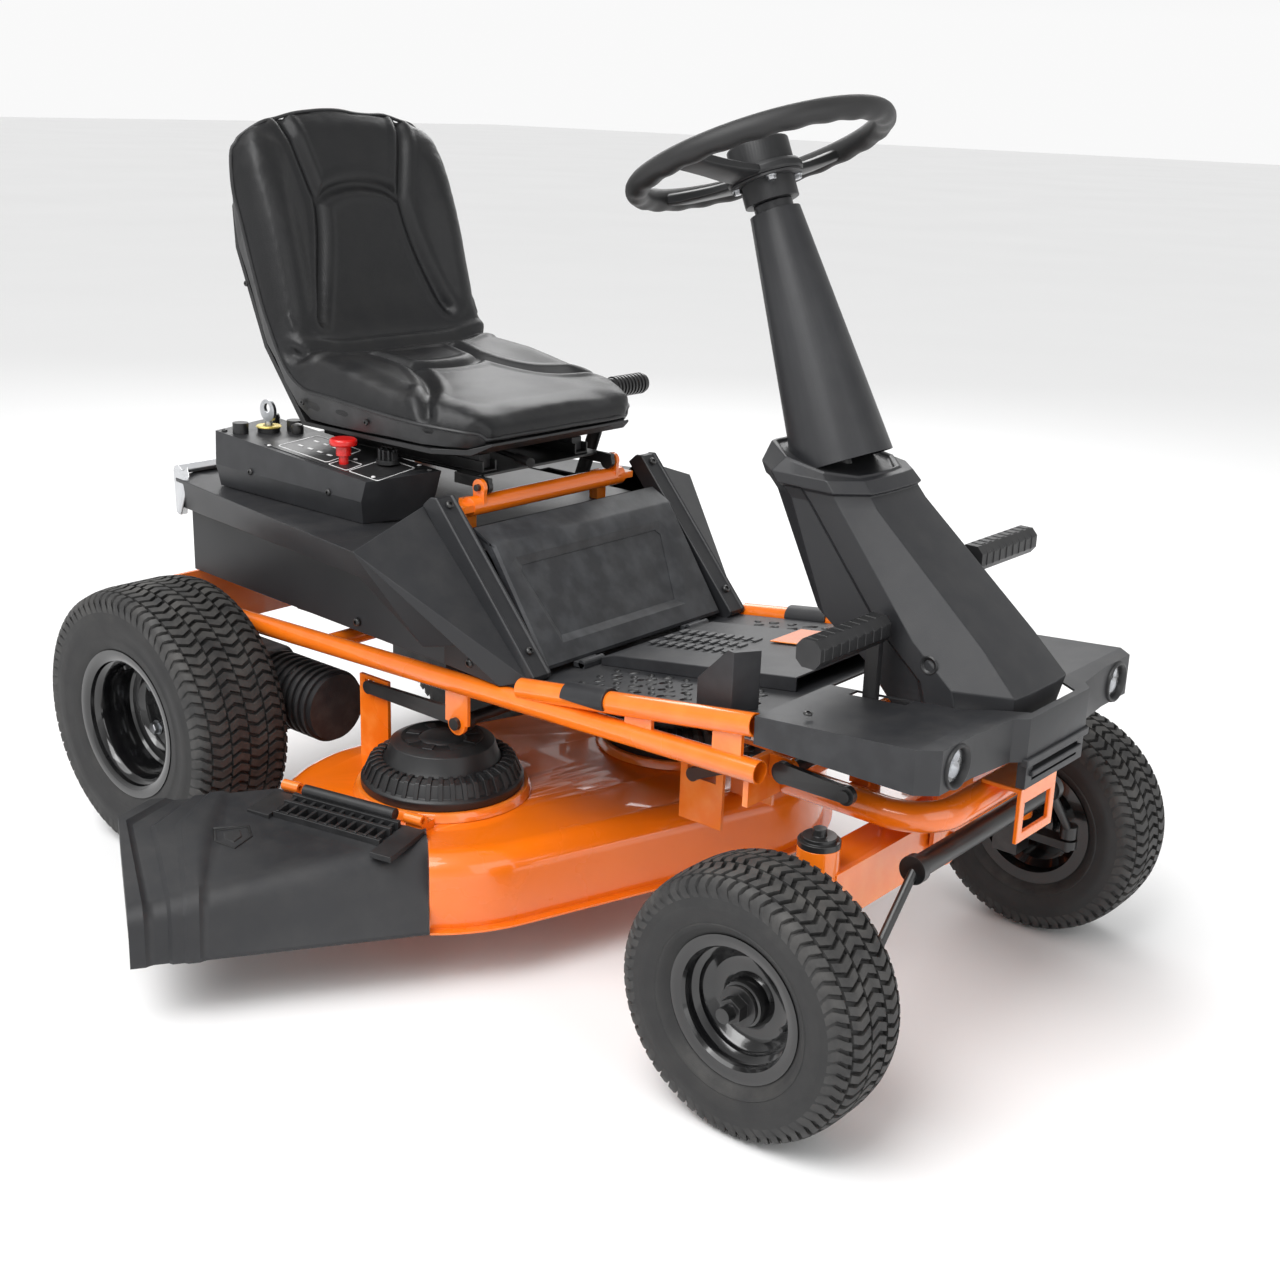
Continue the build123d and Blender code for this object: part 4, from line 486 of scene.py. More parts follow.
def makeGlass():
    mat = bpy.data.materials.new("clearLens")
    mat.use_nodes = True
    tree = mat.node_tree
    shader = tree.nodes["Principled BSDF"]
    grain = addNode(tree, "ShaderNodeGroup", node_tree=grainGroup)
    grain.inputs["Base"].default_value = tone(0.93, 0.95, 0.97)
    grain.inputs["Cloud"].default_value = tone(0.97, 0.98, 0.99)
    grain.inputs["Rough Low"].default_value = 0.02
    grain.inputs["Rough High"].default_value = 0.05
    tree.links.new(grain.outputs["Color"], shader.inputs["Base Color"])
    tree.links.new(grain.outputs["Roughness"], shader.inputs["Roughness"])
    shader.inputs["Transmission Weight"].default_value = 1.0
    shader.inputs["IOR"].default_value = 1.45
    return mat


def makeVinyl():
    # pebbled seat vinyl: cells for the grain
    mat = finishPaint(
        "seatVinyl", base=(0.0065, 0.0067, 0.0075), cloud=(0.0095, 0.0098, 0.0108), highlightColour=(0.022, 0.022, 0.024),
        grainScale=320, cloudScale=5, rough=(0.34, 0.44), bump=(0.2, 0.0003), dustAndSheen=0.04,
        coat=0.1, coatRough=0.22, specular=0.3, highlightSpan=(0.54, 0.66))
    tree = mat.node_tree
    shader = tree.nodes["Principled BSDF"]
    cells = addNode(tree, "ShaderNodeTexVoronoi", Scale=520.0)
    cells.feature = "DISTANCE_TO_EDGE"
    tree.links.new(tree.nodes.new("ShaderNodeTexCoord").outputs["Object"], cells.inputs["Vector"])
    pebble = spread(tree, cells.outputs["Distance"], 0.0, 0.25, 0.0, 1.0)
    lift = tree.nodes.new("ShaderNodeBump")
    lift.inputs["Strength"].default_value = 0.28
    lift.inputs["Distance"].default_value = 0.0004
    previous = shader.inputs["Normal"].links[0].from_socket
    tree.links.new(previous, lift.inputs["Normal"])
    tree.links.new(pebble, lift.inputs["Height"])
    tree.links.new(lift.outputs["Normal"], shader.inputs["Normal"])
    return mat


clearLens = makeGlass()
seatVinyl = makeVinyl()
paintOfSlot = {
    "orange_paint": orangePaint, "black_cover": blackMoulding, "panel_overlay": blackTrim,
    "black_trim": blackTrim,
    "black_steel": blackSteel, "rim_paint": rimPaint, "tyre_rubber": tyreRubber, "grip_rubber": gripRubber,
    "soft_black": blackTrim, "zinc_steel": zincSteel, "cast_alloy": castAlloy, "stop_red": stopRed,
    "clear_lens": clearLens, "seat_vinyl": seatVinyl,
}
for entry in record["subparts"]:
    mesh = nodes[entry["node"]].data
    mesh.materials.clear()
    mesh.materials.append(paintOfSlot[entry["material_slot"]])
print("finishes ready")


# turf tyres and rims; profiles are (radius, distance along the axle)
turf = {
    "front": {"dia": 330, "width": 125, "bead": 76.2, "flange": 90.5, "beadHalf": 47,
              "rows": 62, "columns": 5},
    "rear": {"dia": 418, "width": 166, "bead": 101.6, "flange": 117, "beadHalf": 74,
             "rows": 74, "columns": 6},
    "blockDepth": 6.5, "rootDepth": 1.5, "gapShare": 0.29, "bend": 6.5, "gapSide": 1.6, "shoulder": 16,
    "topTrim": 0.045, "topTaper": 0.012, "bends": 4,
}


def tyreWall(t, sink):
    # half profile from the bead to the crown as (radius, distance from the middle)
    r, half = t["dia"] / 2 - sink, t["width"] / 2
    flange, bead = t["flange"], t["beadHalf"]
    h = r - flange
    rises = ((0.16, 5), (0.22, 3.6), (0.24, 4.4), (0.42, 0.8), (0.56, 0.3), (0.58, 1.2), (0.74, 2.2))
    wall = [(t["bead"] + 1, bead - 2), (flange + 1, bead + 0.5), (flange + 4, bead + 3)]
    wall += [(flange + share * h, half - inset) for share, inset in rises]
    return wall + [(r - 11, half - 5), (r - 5, half - 12), (r - 1.5, half - 25), (r, half - 42)]


def crownPoint(t, across, sink):
    # a point on the tread surface, `across` measured along the crown from the middle
    r, half = t["dia"] / 2 - sink, t["width"] / 2
    path = [(r, 0), (r, half - 42), (r - 2, half - 24), (r - 6.5, half - 9), (r - 18, half - 2.5),
            (r - 40, half - 1)]
    sign = 1 if across >= 0 else -1
    left = abs(across)
    for (r0, y0), (r1, y1) in zip(path, path[1:]):
        span = math.hypot(r1 - r0, y1 - y0)
        if left <= span:
            f = left / span
            return r0 + (r1 - r0) * f, sign * (y0 + (y1 - y0) * f)
        left -= span
    return path[-1][0], sign * path[-1][1]


def makeTyre(name, t, x, y, body, node):
    # carcass with chevron blocks laid over the crown
    z = t["dia"] / 2
    wall = tyreWall(t, turf["blockDepth"])
    closing = [(t["bead"] + 4, -t["beadHalf"] + 6), (t["bead"] + 4, t["beadHalf"] - 6)]
    profile = wall + [(r, -d) for r, d in reversed(wall)] + closing
    made = [lathe(profile, (x, y, z), (0, 1, 0), 120, closed=True)]
    reach = t["width"] / 2 + turf["shoulder"]
    columns = t["columns"]
    wide = 2 * reach / columns
    pitch = 2 * math.pi / t["rows"]
    bend = turf["bend"] / (t["dia"] / 2)
    bends = turf["bends"]
    layers = (turf["blockDepth"] + turf["rootDepth"], 0.0, 0.0), (0.0, turf["topTrim"], turf["topTaper"])
    for row in range(t["rows"]):
        for col in range(columns):
            a0 = -reach + col * wide + turf["gapSide"]
            a1 = a0 + wide - 2 * turf["gapSide"]
            way = 1 if col % 2 else -1
            start = (row + (0.5 if col % 2 else 0.0)) * pitch
            low, high = [], []
            for k in range(bends + 1):
                f = k / bends
                across = a0 + (a1 - a0) * f
                shift = bend * (1 - abs(2 * f - 1)) * way
                for ring, (sink, trim, taper) in zip((low, high), layers):
                    for edge in (0, 1):
                        part = trim + edge * (1 - turf["gapShare"] - 2 * trim)
                        angle = start + shift + pitch * part
                        radius, off = crownPoint(t, across * (1 - taper), sink)
                        ring.append((x + radius * math.sin(angle), y + off, z + radius * math.cos(angle)))
            pts = low + high
            n = len(low)
            faces = []
            for k in range(bends):
                b = 2 * k
                faces += [(n + b, n + b + 1, n + b + 3, n + b + 2), (b, b + 2, n + b + 2, n + b),
                          (b + 1, n + b + 1, n + b + 3, b + 3)]
            faces += [(0, n, n + 1, 1), (n - 2, n - 1, 2 * n - 1, 2 * n - 2)]
            faces += [(b, b + 1, b + 3, b + 2) for b in range(0, 2 * bends, 2)]
            made.append((pts, faces))
    return makePiece(name, made, tyreRubber, body, (node,), sharp=42)


hub = {
    "frontSide": 356.5, "rearSide": 362.5,
    "frontFace": [
        (10, 34), (24, 34), (27.5, 32), (28, 27), (29, 17), (33, 12.5), (38, 11), (50, 11.5), (54, 14),
        (57, 18.5), (61, 20.5), (63.5, 24), (64.5, 28), (68, 31), (71.5, 33), (73, 36), (73.2, 43),
        (76, 47.5), (82, 49.2), (87.5, 50), (90.4, 49.5), (90.5, 47.2), (77, 46), (76, 30), (66, 24),
        (66, -24), (76, -30), (77, -46), (90.5, -47), (90.5, -50), (74, -50), (72, -33), (62, -25),
        (61.5, 8), (50, 8), (29, 8), (28, -34), (10, -34)],
    "rearFace": [
        (13, 0), (34, 0), (36.8, -1.5), (37, -4.5), (44, -5), (66, -5), (70, -2), (73, 2.5), (78, 4.5),
        (84, 5.5), (87.5, 9), (88.5, 16), (89, 56), (92, 62), (97.5, 66), (99, 72), (104, 75.5),
        (112, 76.6), (116.6, 76.4), (117, 74.2), (103, 73), (101.4, 57), (91, 50), (91, -50),
        (101.4, -57), (103, -73), (117, -74), (117, -77), (98, -77), (97, -58), (87, -50), (86.5, 1),
        (70, -8), (38, -8), (37, -46), (13, -46)],
    "washer": [(9, 33.5), (21, 33.5), (21, 36), (9, 36)], "nut": {"width": 20, "height": 11, "washer": 26},
    "axleCap": [(0, -1), (11, -1), (11, 1.5), (8, 3), (0, 3)],
    "lugs": {"count": 4, "circle": 50, "inset": 4.6, "width": 16, "height": 10, "washer": 24},
}


def makeRim(name, profile, x, y, z, side, body, node):
    made = [lathe(profile, (x, y, z), (0, side, 0), 112, closed=True)]
    return makePiece(name, made, rimPaint, body, (node,), sharp=30)


def makeFrontWheel(side, tag):
    body = "wheel_f" + tag[0]
    x, y, z = wheelbase, side * hub["frontSide"], 165
    nut = hub["nut"]
    makeTyre("turfTyreFront_" + tag, turf["front"], x, y, body, "front_tyre_" + tag)
    makeRim("rimFront_" + tag, hub["frontFace"], x, y, z, side, body, "front_rim_" + tag)
    washer = lathe(hub["washer"], (x, y, z), (0, side, 0), 40, closed=True)
    makePiece("hubWasher_" + tag, washer, zincSteel, body, bevel=0.4)
    head = boltHead((x, y + side * 35, z), (0, side, 0), **nut)
    makePiece("hubNut_" + tag, head, blackSteel, body, bevel=0.6)
    valve = pipe([(x + 68, y + side * 30, z), (x + 66, y + side * 47, z)], [4.2, 3.0], 12)
    makePiece("valveFront_" + tag, valve, gripRubber, body, bevel=0.6)


def makeRearWheel(side, tag):
    body = "wheel_r" + tag[0]
    y, z = side * hub["rearSide"], 209
    lugs = hub["lugs"]
    makeTyre("turfTyreRear_" + tag, turf["rear"], 0, y, body, "rear_tyre_" + tag)
    makeRim("rimRear_" + tag, hub["rearFace"], 0, y, z, side, body, "rear_rim_" + tag)
    made = []
    for k in range(lugs["count"]):
        a = math.radians(45 + 90 * k)
        foot = (lugs["circle"] * math.cos(a), y - side * lugs["inset"], z + lugs["circle"] * math.sin(a))
        made += boltHead(foot, (0, side, 0), lugs["width"], lugs["height"], lugs["washer"])
    made.append(lathe(hub["axleCap"], (0, y, z), (0, side, 0), 32))
    makePiece("lugNuts_" + tag, made, zincSteel, body, bevel=0.5)
    valve = pipe([(0, y + side * 52, z + 93), (0, y + side * 70, z + 90)], [4.4, 3.2], 12)
    makePiece("valveRear_" + tag, valve, gripRubber, body, bevel=0.6)


for side, tag in ((-1, "right"), (1, "left")):
    makeFrontWheel(side, tag)
    makeRearWheel(side, tag)
print("wheels ready")


# seat cushion, piping and tray
seat = {
    # stations run along the middle of the padding, from the front lip to the top of the back, as (x, z)
    "front": [
        (494, 684), (492, 700), (476, 714), (440, 721), (400, 724), (340, 731), (290, 740), (246, 749),
        (205, 755), (168, 759), (140, 768), (118, 786), (102, 812), (92, 842), (80, 880), (69, 920),
        (58, 960), (47, 1000), (37, 1040), (26, 1080), (18, 1102), (8, 1115)],
    "back": [
        (480, 677), (474, 675), (466, 673), (438, 671.5), (400, 671), (340, 671), (290, 671), (246, 671),
        (205, 671), (168, 671), (138, 690), (110, 722), (84, 754), (66, 774), (48, 810), (34, 845),
        (20, 880), (7, 912), (1, 960), (-3, 1005), (-8, 1055), (-12, 1095)],
    # height of the side bolsters, half width, and how far the edges hang below the middle
    "swell": [0, 0, 4, 8, 12, 13, 12, 10, 8, 8, 10, 14, 18, 21, 23, 24, 23, 20, 15, 8, 2, 0],
    "half": [150, 158, 176, 192, 201, 207, 209, 210, 209, 207, 206, 205, 205, 205, 205, 205, 205, 205,
             204, 199, 192, 182],
    "arch": [0, 0, 0, 0, 0, 0, 0, 0, 0, 0, 0, 0, 0, 0, 0, 0, 0, 2, 8, 18, 26, 33],
    "bolsterAt": 0.83, "bolsterWide": 0.17, "crown": 5, "crownHold": 0.4, "roundFrom": 0.90, "across": 28,
    "archPower": 2.4, "backShare": 0.97,
}


def seatPoint(row, share):
    # share runs from -1 at the right edge to 1 at the left
    fx, fz = seat["front"][row]
    bx, bz = seat["back"][row]
    a, b = seat["front"][max(row - 1, 0)], seat["front"][min(row + 1, len(seat["front"]) - 1)]
    run = Vector((b[0] - a[0], 0, b[1] - a[1])).normalized()
    out = Vector((-run.z, 0, run.x))
    if out.dot(Vector((fx - bx, 0, fz - bz))) < 0:
        out = -out
    s = abs(share)
    bolster = seat["swell"][row] * math.exp(-((s - seat["bolsterAt"]) / seat["bolsterWide"]) ** 2)
    crown = seat["crown"] * (1 - s * s)
    edge = max(0.0, (s - seat["roundFrom"]) / 0.10)
    thick = Vector((fx - bx, 0, fz - bz)).length
    drop = (1 - math.sqrt(max(0.0, 1 - edge * edge))) * thick * 0.5
    middle = Vector((fx, share * seat["half"][row], fz - seat["arch"][row] * s ** seat["archPower"]))
    return middle + out * (bolster + crown * seat["crownHold"] - drop)


def backPoint(row, share, wide=1.0):
    bx, bz = seat["back"][row]
    hang = seat["arch"][row] * abs(share) ** seat["archPower"]
    return Vector((bx, seat["half"][row] * share * wide, bz - hang))


def makeSeat():
    across = seat["across"]
    rings = []
    for row in range(len(seat["front"])):
        front = [seatPoint(row, -1 + 2 * k / across) for k in range(across + 1)]
        back = [backPoint(row, 1 - 2 * k / 8, seat["backShare"]) for k in range(9)]
        rings.append(front + back)
    cushion = makePiece("seatCushion", loft(rings), seatVinyl, "seat", ("seat_cushion",),
                        sharp=180)
    inflate(cushion)
    sewGrooves(cushion)
    makeSeatTrim(cushion)


def useOnly(piece):
    for other in bpy.context.selected_objects:
        other.select_set(False)
    piece.select_set(True)
    bpy.context.view_layer.objects.active = piece


# voxel and cap are in metres, pressure and stiffness in the solver's own units
foam = {"voxel": 0.0065, "pressure": 4, "quality": 5, "stiffness": 25, "steps": 12, "cap": 0.008, "share": 0.4}


def inflate(piece):
    # foam pressing the cover outwards, for a few steps, no further than the cap
    scene = bpy.context.scene
    remesh = piece.modifiers.new("evenSkin", "REMESH")
    remesh.mode = "VOXEL"
    remesh.voxel_size = foam["voxel"]
    useOnly(piece)
    bpy.ops.object.modifier_apply(modifier=remesh.name)
    before = [v.co.copy() for v in piece.data.vertices]
    cloth = piece.modifiers.new("cover", "CLOTH")
    cloth.settings.use_pressure = True
    cloth.settings.uniform_pressure_force = foam["pressure"]
    cloth.settings.quality = foam["quality"]
    cloth.settings.tension_stiffness = foam["stiffness"]
    cloth.settings.compression_stiffness = foam["stiffness"]
    cloth.settings.effector_weights.gravity = 0
    cloth.collision_settings.use_collision = False
    for step in range(1, foam["steps"] + 1):
        scene.frame_set(step)
    evaluated = piece.evaluated_get(bpy.context.evaluated_depsgraph_get())
    after = [v.co.copy() for v in evaluated.data.vertices]
    piece.modifiers.remove(cloth)
    scene.frame_set(1)
    for vert, a, b in zip(piece.data.vertices, before, after):
        move = b - a
        if move.length > foam["cap"]:
            move = move.normalized() * foam["cap"]
        vert.co = a + move * foam["share"]
    smooth = piece.modifiers.new("settle", "SMOOTH")
    smooth.factor = 0.5
    smooth.iterations = 4
    fine = piece.modifiers.new("fine", "SUBSURF")
    fine.levels = 1
    fine.render_levels = 1
    useOnly(piece)
    for name in ("settle", "fine"):
        bpy.ops.object.modifier_apply(modifier=name)
    piece.data.shade_smooth()


# sewn grooves in the cover as (x, y, z) runs, right side first
grooves = {
    "depth": 9.0, "width": 11.0, "reach": 60,
    "lines": [
        [(16, 116, 1100), (32, 104, 1050), (44, 90, 1000), (50, 84, 975), (66, 90, 930), (78, 104, 880),
         (90, 124, 825), (96, 136, 800)],
        [(50, 84, 975), (54, 60, 992), (57, 30, 1001), (58, 0, 1004)],
        [(128, 214, 770), (140, 190, 764), (150, 140, 762), (152, 80, 761), (152, 0, 761)],
        [(168, 84, 762), (246, 74, 752), (300, 92, 744), (350, 128, 738), (395, 176, 728), (412, 200, 716)],
        [(246, 74, 752), (262, 40, 749), (266, 0, 748)],
    ],
}


def sewGrooves(piece):
    # each point near a run sinks along its normal, with a slight swell beside the seam
    runs = []
    for line in grooves["lines"]:
        for side in (-1, 1):
            path = smoothPath([(x, side * y, z) for x, y, z in line], 8)
            runs.append([at(*p) for p in path])
    width = grooves["width"] / 1000
    depth = grooves["depth"] / 1000
    reach = grooves["reach"] / 1000
    bm = bmesh.new()
    bm.from_mesh(piece.data)
    bm.normal_update()
    moves = []
    for vert in bm.verts:
        best = 1.0
        for run in runs:
            for a, b in zip(run, run[1:]):
                if (vert.co - a).length > reach:
                    continue
                ab = b - a
                t = max(0.0, min(1.0, (vert.co - a).dot(ab) / ab.length_squared))
                away = vert.co - (a + ab * t)
                away -= vert.normal * away.dot(vert.normal)
                best = min(best, away.length)
        if best < width * 2.6:
            moves.append((vert, best))
    for vert, gap in moves:
        share = gap / width
        dip = math.exp(-(share * 1.25) ** 2) - 0.22 * math.exp(-((share - 1.7) * 1.5) ** 2)
        vert.co -= vert.normal * depth * dip
    bm.to_mesh(piece.data)
    bm.free()


def onSkin(cushion, p, gap):
    # the nearest place on the finished cushion, a gap above its skin
    place, normal = cushion.closest_point_on_mesh(at(*p))[1:3]
    place = place + normal * gap / 1000
    return Vector(((place.x - originX) * 1000, (place.y - originY) * 1000, place.z * 1000))


trim = {
    "piping": 2.8, "gap": 0.6, "trayOut": 3.2, "trayIn": 0.2, "trayShare": 0.985,
    "screws": [(420, 172, 683), (160, 208, 700), (300, 207, 690), (30, 203, 860)],
}


def makeSeatTrim(cushion):
    # piping round the seam between cover and tray, the tray itself and its screws
    rows = len(seat["front"])
    gap = trim["gap"]
    right = [onSkin(cushion, seatPoint(r, -1), gap) for r in range(rows)]
    left = [Vector((p.x, -p.y, p.z)) for p in right]
    over = [onSkin(cushion, seatPoint(rows - 1, -1 + 2 * k / 12), gap) for k in range(1, 12)]
    under = [onSkin(cushion, seatPoint(0, 1 - 2 * k / 12), gap) for k in range(1, 12)]
    path = smoothPath(right + over + left[::-1] + under + [right[0]], 3)
    makePiece("seatPiping", pipe(path, trim["piping"], 8), blackTrim, "seat")
    trayRings = []
    for r in range(rows):
        bx, bz = seat["back"][r]
        fx, fz = seat["front"][r]
        a = seat["back"][max(r - 1, 0)]
        b = seat["back"][min(r + 1, rows - 1)]
        run = Vector((b[0] - a[0], 0, b[1] - a[1])).normalized()
        out = Vector((run.z, 0, -run.x))
        if out.dot(Vector((bx - fx, 0, bz - fz))) < 0:
            out = -out
        onBack = [backPoint(r, -trim["trayShare"] + 2 * trim["trayShare"] * k / 16) for k in range(17)]
        middle = [onSkin(cushion, p, trim["trayOut"]) for p in onBack]
        inside = [onSkin(cushion, p, trim["trayIn"]) for p in onBack]
        outerRight = right[r] + Vector((0, -1.8, 0)) - out * 1.0
        outerLeft = left[r] + Vector((0, 1.8, 0)) - out * 1.0
        outer = [outerRight] + middle + [outerLeft]
        inner = [right[r] + Vector((0, 1.0, 0))] + inside + [left[r] + Vector((0, -1.0, 0))]
        trayRings.append(outer + inner[::-1])
    makePiece("seatTray", loft(trayRings), blackTrim, "seat", (), sharp=50)
    made = []
    for x, y, z in trim["screws"]:
        for side in (-1, 1):
            made += panScrew((x, side * y, z), (0, side, 0), 9, 3)
    makePiece("seatScrews", made, blackSteel, "seat")


makeSeat()
print("seat ready")


# frame pieces that keep their shape and get rounded edges: node and edge radius
edgeRadius = {
    "rear_panel": 1.6, "seat_deck": 1.2, "console_box": 3.6, "bumper_cover": 3.6, "floor_pan": 1.4,
    "centre_tunnel": 2.6, "deck_shell": 2.0, "frame_rails": 0.8, "cross_members": 0.8, "front_loop": 1.0,
    "tow_bracket": 1.6, "rear_hitch": 1.2, "rail_guards": 0.8, "seat_frame": 1.0, "seat_base": 1.0,
    "seat_shell": 1.0, "slide_lever": 0.6, "drive_pedal": 1.2, "brake_pedal": 1.2, "axle_beam": 1.2,
    "kingpin_caps": 0.8, "tie_rod": 0.6, "knuckle_right": 1.0, "knuckle_left": 1.0, "rear_lift": 0.8,
    "front_lift": 0.8, "height_lever": 0.6, "drive_motors": 1.6, "battery_pack": 2.0,
    "motor_controller": 1.2, "column_cover": 0.8, "steering_hub": 0.8, "key_switch": 0.5,
    "ignition_key": 0.4, "speed_knob": 0.5, "stop_button": 0.6, "blade_right": 0.5, "blade_left": 0.5,
    "control_panel": 0.3, "control_cables": 0.0,
}
slotOf = {entry["node"]: entry["material_slot"] for entry in record["subparts"]}
for name, radius in edgeRadius.items():
    softened(name, paintOfSlot[slotOf[name]], radius)
print("frame pieces ready")


# steering wheel, drawn flat and then leaned back with the column
column = {
    "tilt": 23.1, "centre": (818, 0, 1079), "ring": 160.8, "tube": 15.0, "ringSteps": 216, "tubeSteps": 24,
    "grips": 24, "gripDepth": 1.8, "turns": (-90, 90, 180),
    # spoke stations: distance from the middle, half width, underside and top
    "spoke": [(30, 25, -30, -19), (44, 25, -29, -16), (70, 22, -26, -12), (100, 19, -21, -6),
              (128, 18, -16, 0), (146, 19, -12, 4), (156, 22, -8, 7)],
    "cup": [(12, -30), (47, -30), (49, -27), (49, -20), (45, -15), (41, -15), (41, -22.5), (12, -22.5)],
    "plate": {"radius": 46, "long": 1.04, "low": -33.5, "high": -30.2},
}


def onColumn(x, y, z):
    t = math.radians(column["tilt"])
    cx, cy, cz = column["centre"]
    return Vector((cx + x * math.cos(t) - z * math.sin(t), cy + y, cz + x * math.sin(t) + z * math.cos(t)))


def spokeSection(wide, low, high):
    # a shallow trough: rounded below, raised rims above
    return [(-wide, low + 3), (-wide + 5, low), (wide - 5, low), (wide, low + 3), (wide, high - 3),
            (wide - 6, high), (wide - 10, high - 2.4), (-wide + 10, high - 2.4), (-wide + 6, high),
            (-wide, high - 3)]


def makeSteering():
    rings = []
    for s in range(column["ringSteps"]):
        a = 2 * math.pi * s / column["ringSteps"]
        groove = 0.5 + 0.5 * math.cos(column["grips"] * a)
        ring = []
        for k in range(column["tubeSteps"]):
            b = 2 * math.pi * k / column["tubeSteps"]
            grip = max(0.0, -math.sin(b)) ** 2 * column["gripDepth"] * groove
            r = column["tube"] - grip - 0.15 * (k % 2)
            out = column["ring"] + r * math.cos(b)
            ring.append(onColumn(out * math.cos(a), out * math.sin(a), r * math.sin(b)))
        rings.append(ring)
    made = [loft(rings, caps=False, lengthClosed=True)]
    makePiece("steeringRing", made, gripRubber, "steering", ("steering_wheel",), sharp=60)
    made = []
    for turn in column["turns"]:
        a = math.radians(turn)
        c, n = math.cos(a), math.sin(a)
        arms = []
        for reach, wide, low, high in column["spoke"]:
            arms.append([onColumn(reach * c - w * n, reach * n + w * c, h)
                         for w, h in spokeSection(wide, low, high)])
        made.append(loft(arms))
    centre = onColumn(0, 0, 0)
    axis = onColumn(0, 0, 1) - centre
    made.append(lathe(column["cup"], centre, axis, 64, closed=True))
    makePiece("steeringSpokes", made, blackTrim, "steering", bevel=1.4)
    plate = column["plate"]
    oval = [(plate["radius"] * math.cos(t) * plate["long"], plate["radius"] * math.sin(t))
            for t in (2 * math.pi * k / 48 for k in range(48))]
    made = loft([[onColumn(x, y, plate[level]) for x, y in oval] for level in ("low", "high")])
    makePiece("hubPlate", made, castAlloy, "steering", bevel=0.8)
    made = []
    for k in range(4):
        a = math.radians(45 + 90 * k)
        made += boltHead(onColumn(39 * math.cos(a), 39 * math.sin(a), -33.6), -axis, 10, 5, 14)
    makePiece("hubScrews", made, zincSteel, "steering", bevel=0.4)


makeSteering()
print("steering wheel ready")


# motor covers on the deck
covers = {
    "spots": [(478, -228), (600, 160)], "radius": 117, "low": 197, "high": 268, "slots": 40, "ribHalf": 3.4,
    # outline of one rim rib as (distance inside the rim, height)
    "rib": [(1.5, 12), (5, 21), (12, 37), (24, 42), (31, 41), (31, 30), (5, 8)],
    "topRibs": 8, "topRib": [(34, -5), (54, -8), (54, 8), (34, 5)],
    # orange seat round the foot as (distance outside the rim, height)
    "seat": [(1, 186), (11, 186), (10, 192), (6.5, 197.5), (1.5, 197.5)],
}


def spokes(count, offset=0.0):
    # directions outwards and along the rim, evenly round a circle
    for k in range(count):
        a = 2 * math.pi * (k + offset) / count
        yield Vector((math.cos(a), math.sin(a), 0)), Vector((-math.sin(a), math.cos(a), 0))


def makeMotorCover(x, y):
    low, high, r = covers["low"], covers["high"], covers["radius"]
    h = high - low
    profile = [(0, -75), (30, -75), (30, 0), (r - 1, 0), (r, 2), (r, 12), (r - 2, 15), (r - 6, 17), (r - 8, 22),
               (r - 14, 34), (r - 24, 39), (r - 27, 37), (r - 32, 37.5), (r - 36, 44), (r - 42, h - 8),
               (r - 50, h - 4), (r - 58, h - 1.5), (r - 62, h - 4), (34, h - 4.5), (31, h - 2), (20, h), (0, h)]
    made = [lathe(profile, (x, y, low), (0, 0, 1), 128)]
    wide = covers["ribHalf"]
    foot = Vector((x, y, low))
    for u, v in spokes(covers["slots"]):
        rib = [foot + u * (r - inset) + Vector((0, 0, z)) - v * wide for inset, z in covers["rib"]]
        made.append(prism(rib, v * wide * 2))
    top = Vector((x, y, low + h - 5))
    for u, v in spokes(covers["topRibs"], 0.5):
        made.append(prism([top + u * reach + v * across for reach, across in covers["topRib"]], (0, 0, 2.6)))
    return made


def makeMotorCovers():
    made, seats = [], []
    ring = [(covers["radius"] + out, z) for out, z in covers["seat"]]
    for x, y in covers["spots"]:
        made += makeMotorCover(x, y)
        seats.append(lathe(ring, (x, y, 0), (0, 0, 1), 128, closed=True))
    makePiece("motorCovers", made, blackTrim, "deck", ("deck_motors",), bevel=0.9)
    makePiece("coverSeats", seats, orangePaint, "deck", sharp=50)


makeMotorCovers()
print("motor covers ready")


# grip bumps on the floor, ridges and plaque on the tunnel
floorShape = {"flat": 386, "high": 437, "bend": 646, "end": 1022, "skin": 3}
bumps = {"start": 716, "pitch": 30, "rows": 5, "steps": 9, "side": 126, "apart": 18, "lean": 0.6,
         "long": 8.5, "wide": 5.0, "levels": [(1.0, 0.0), (0.88, 1.4), (0.55, 2.3), (0.1, 2.6)]}
ridges = {"start": 704, "pitch": 16, "steps": 9, "apart": 34, "length": 5, "half": 9, "lift": 20,
          "height": 1.6, "top": 0.7}
plaque = {"x": (857, 905), "y": (30, 105), "lift": 20.4, "thick": 2.2}


def floorTop(x):
    f = floorShape
    return f["flat"] + f["skin"] + max(0.0, x - f["bend"]) * (f["high"] - f["flat"]) / (f["end"] - f["bend"])


def makeBump(x, y, z, lean):
    slope = 0.1356
    rings = []
    for grow, lift in bumps["levels"]:
        points = []
        for k in range(16):
            a = 2 * math.pi * k / 16
            u, v = bumps["long"] * grow * math.cos(a), bumps["wide"] * grow * math.sin(a)
            px = u * math.cos(lean) - v * math.sin(lean)
            py = u * math.sin(lean) + v * math.cos(lean)
            points.append((x + px, y + py, z + lift + px * slope))
        rings.append(points)
    return loft(rings)


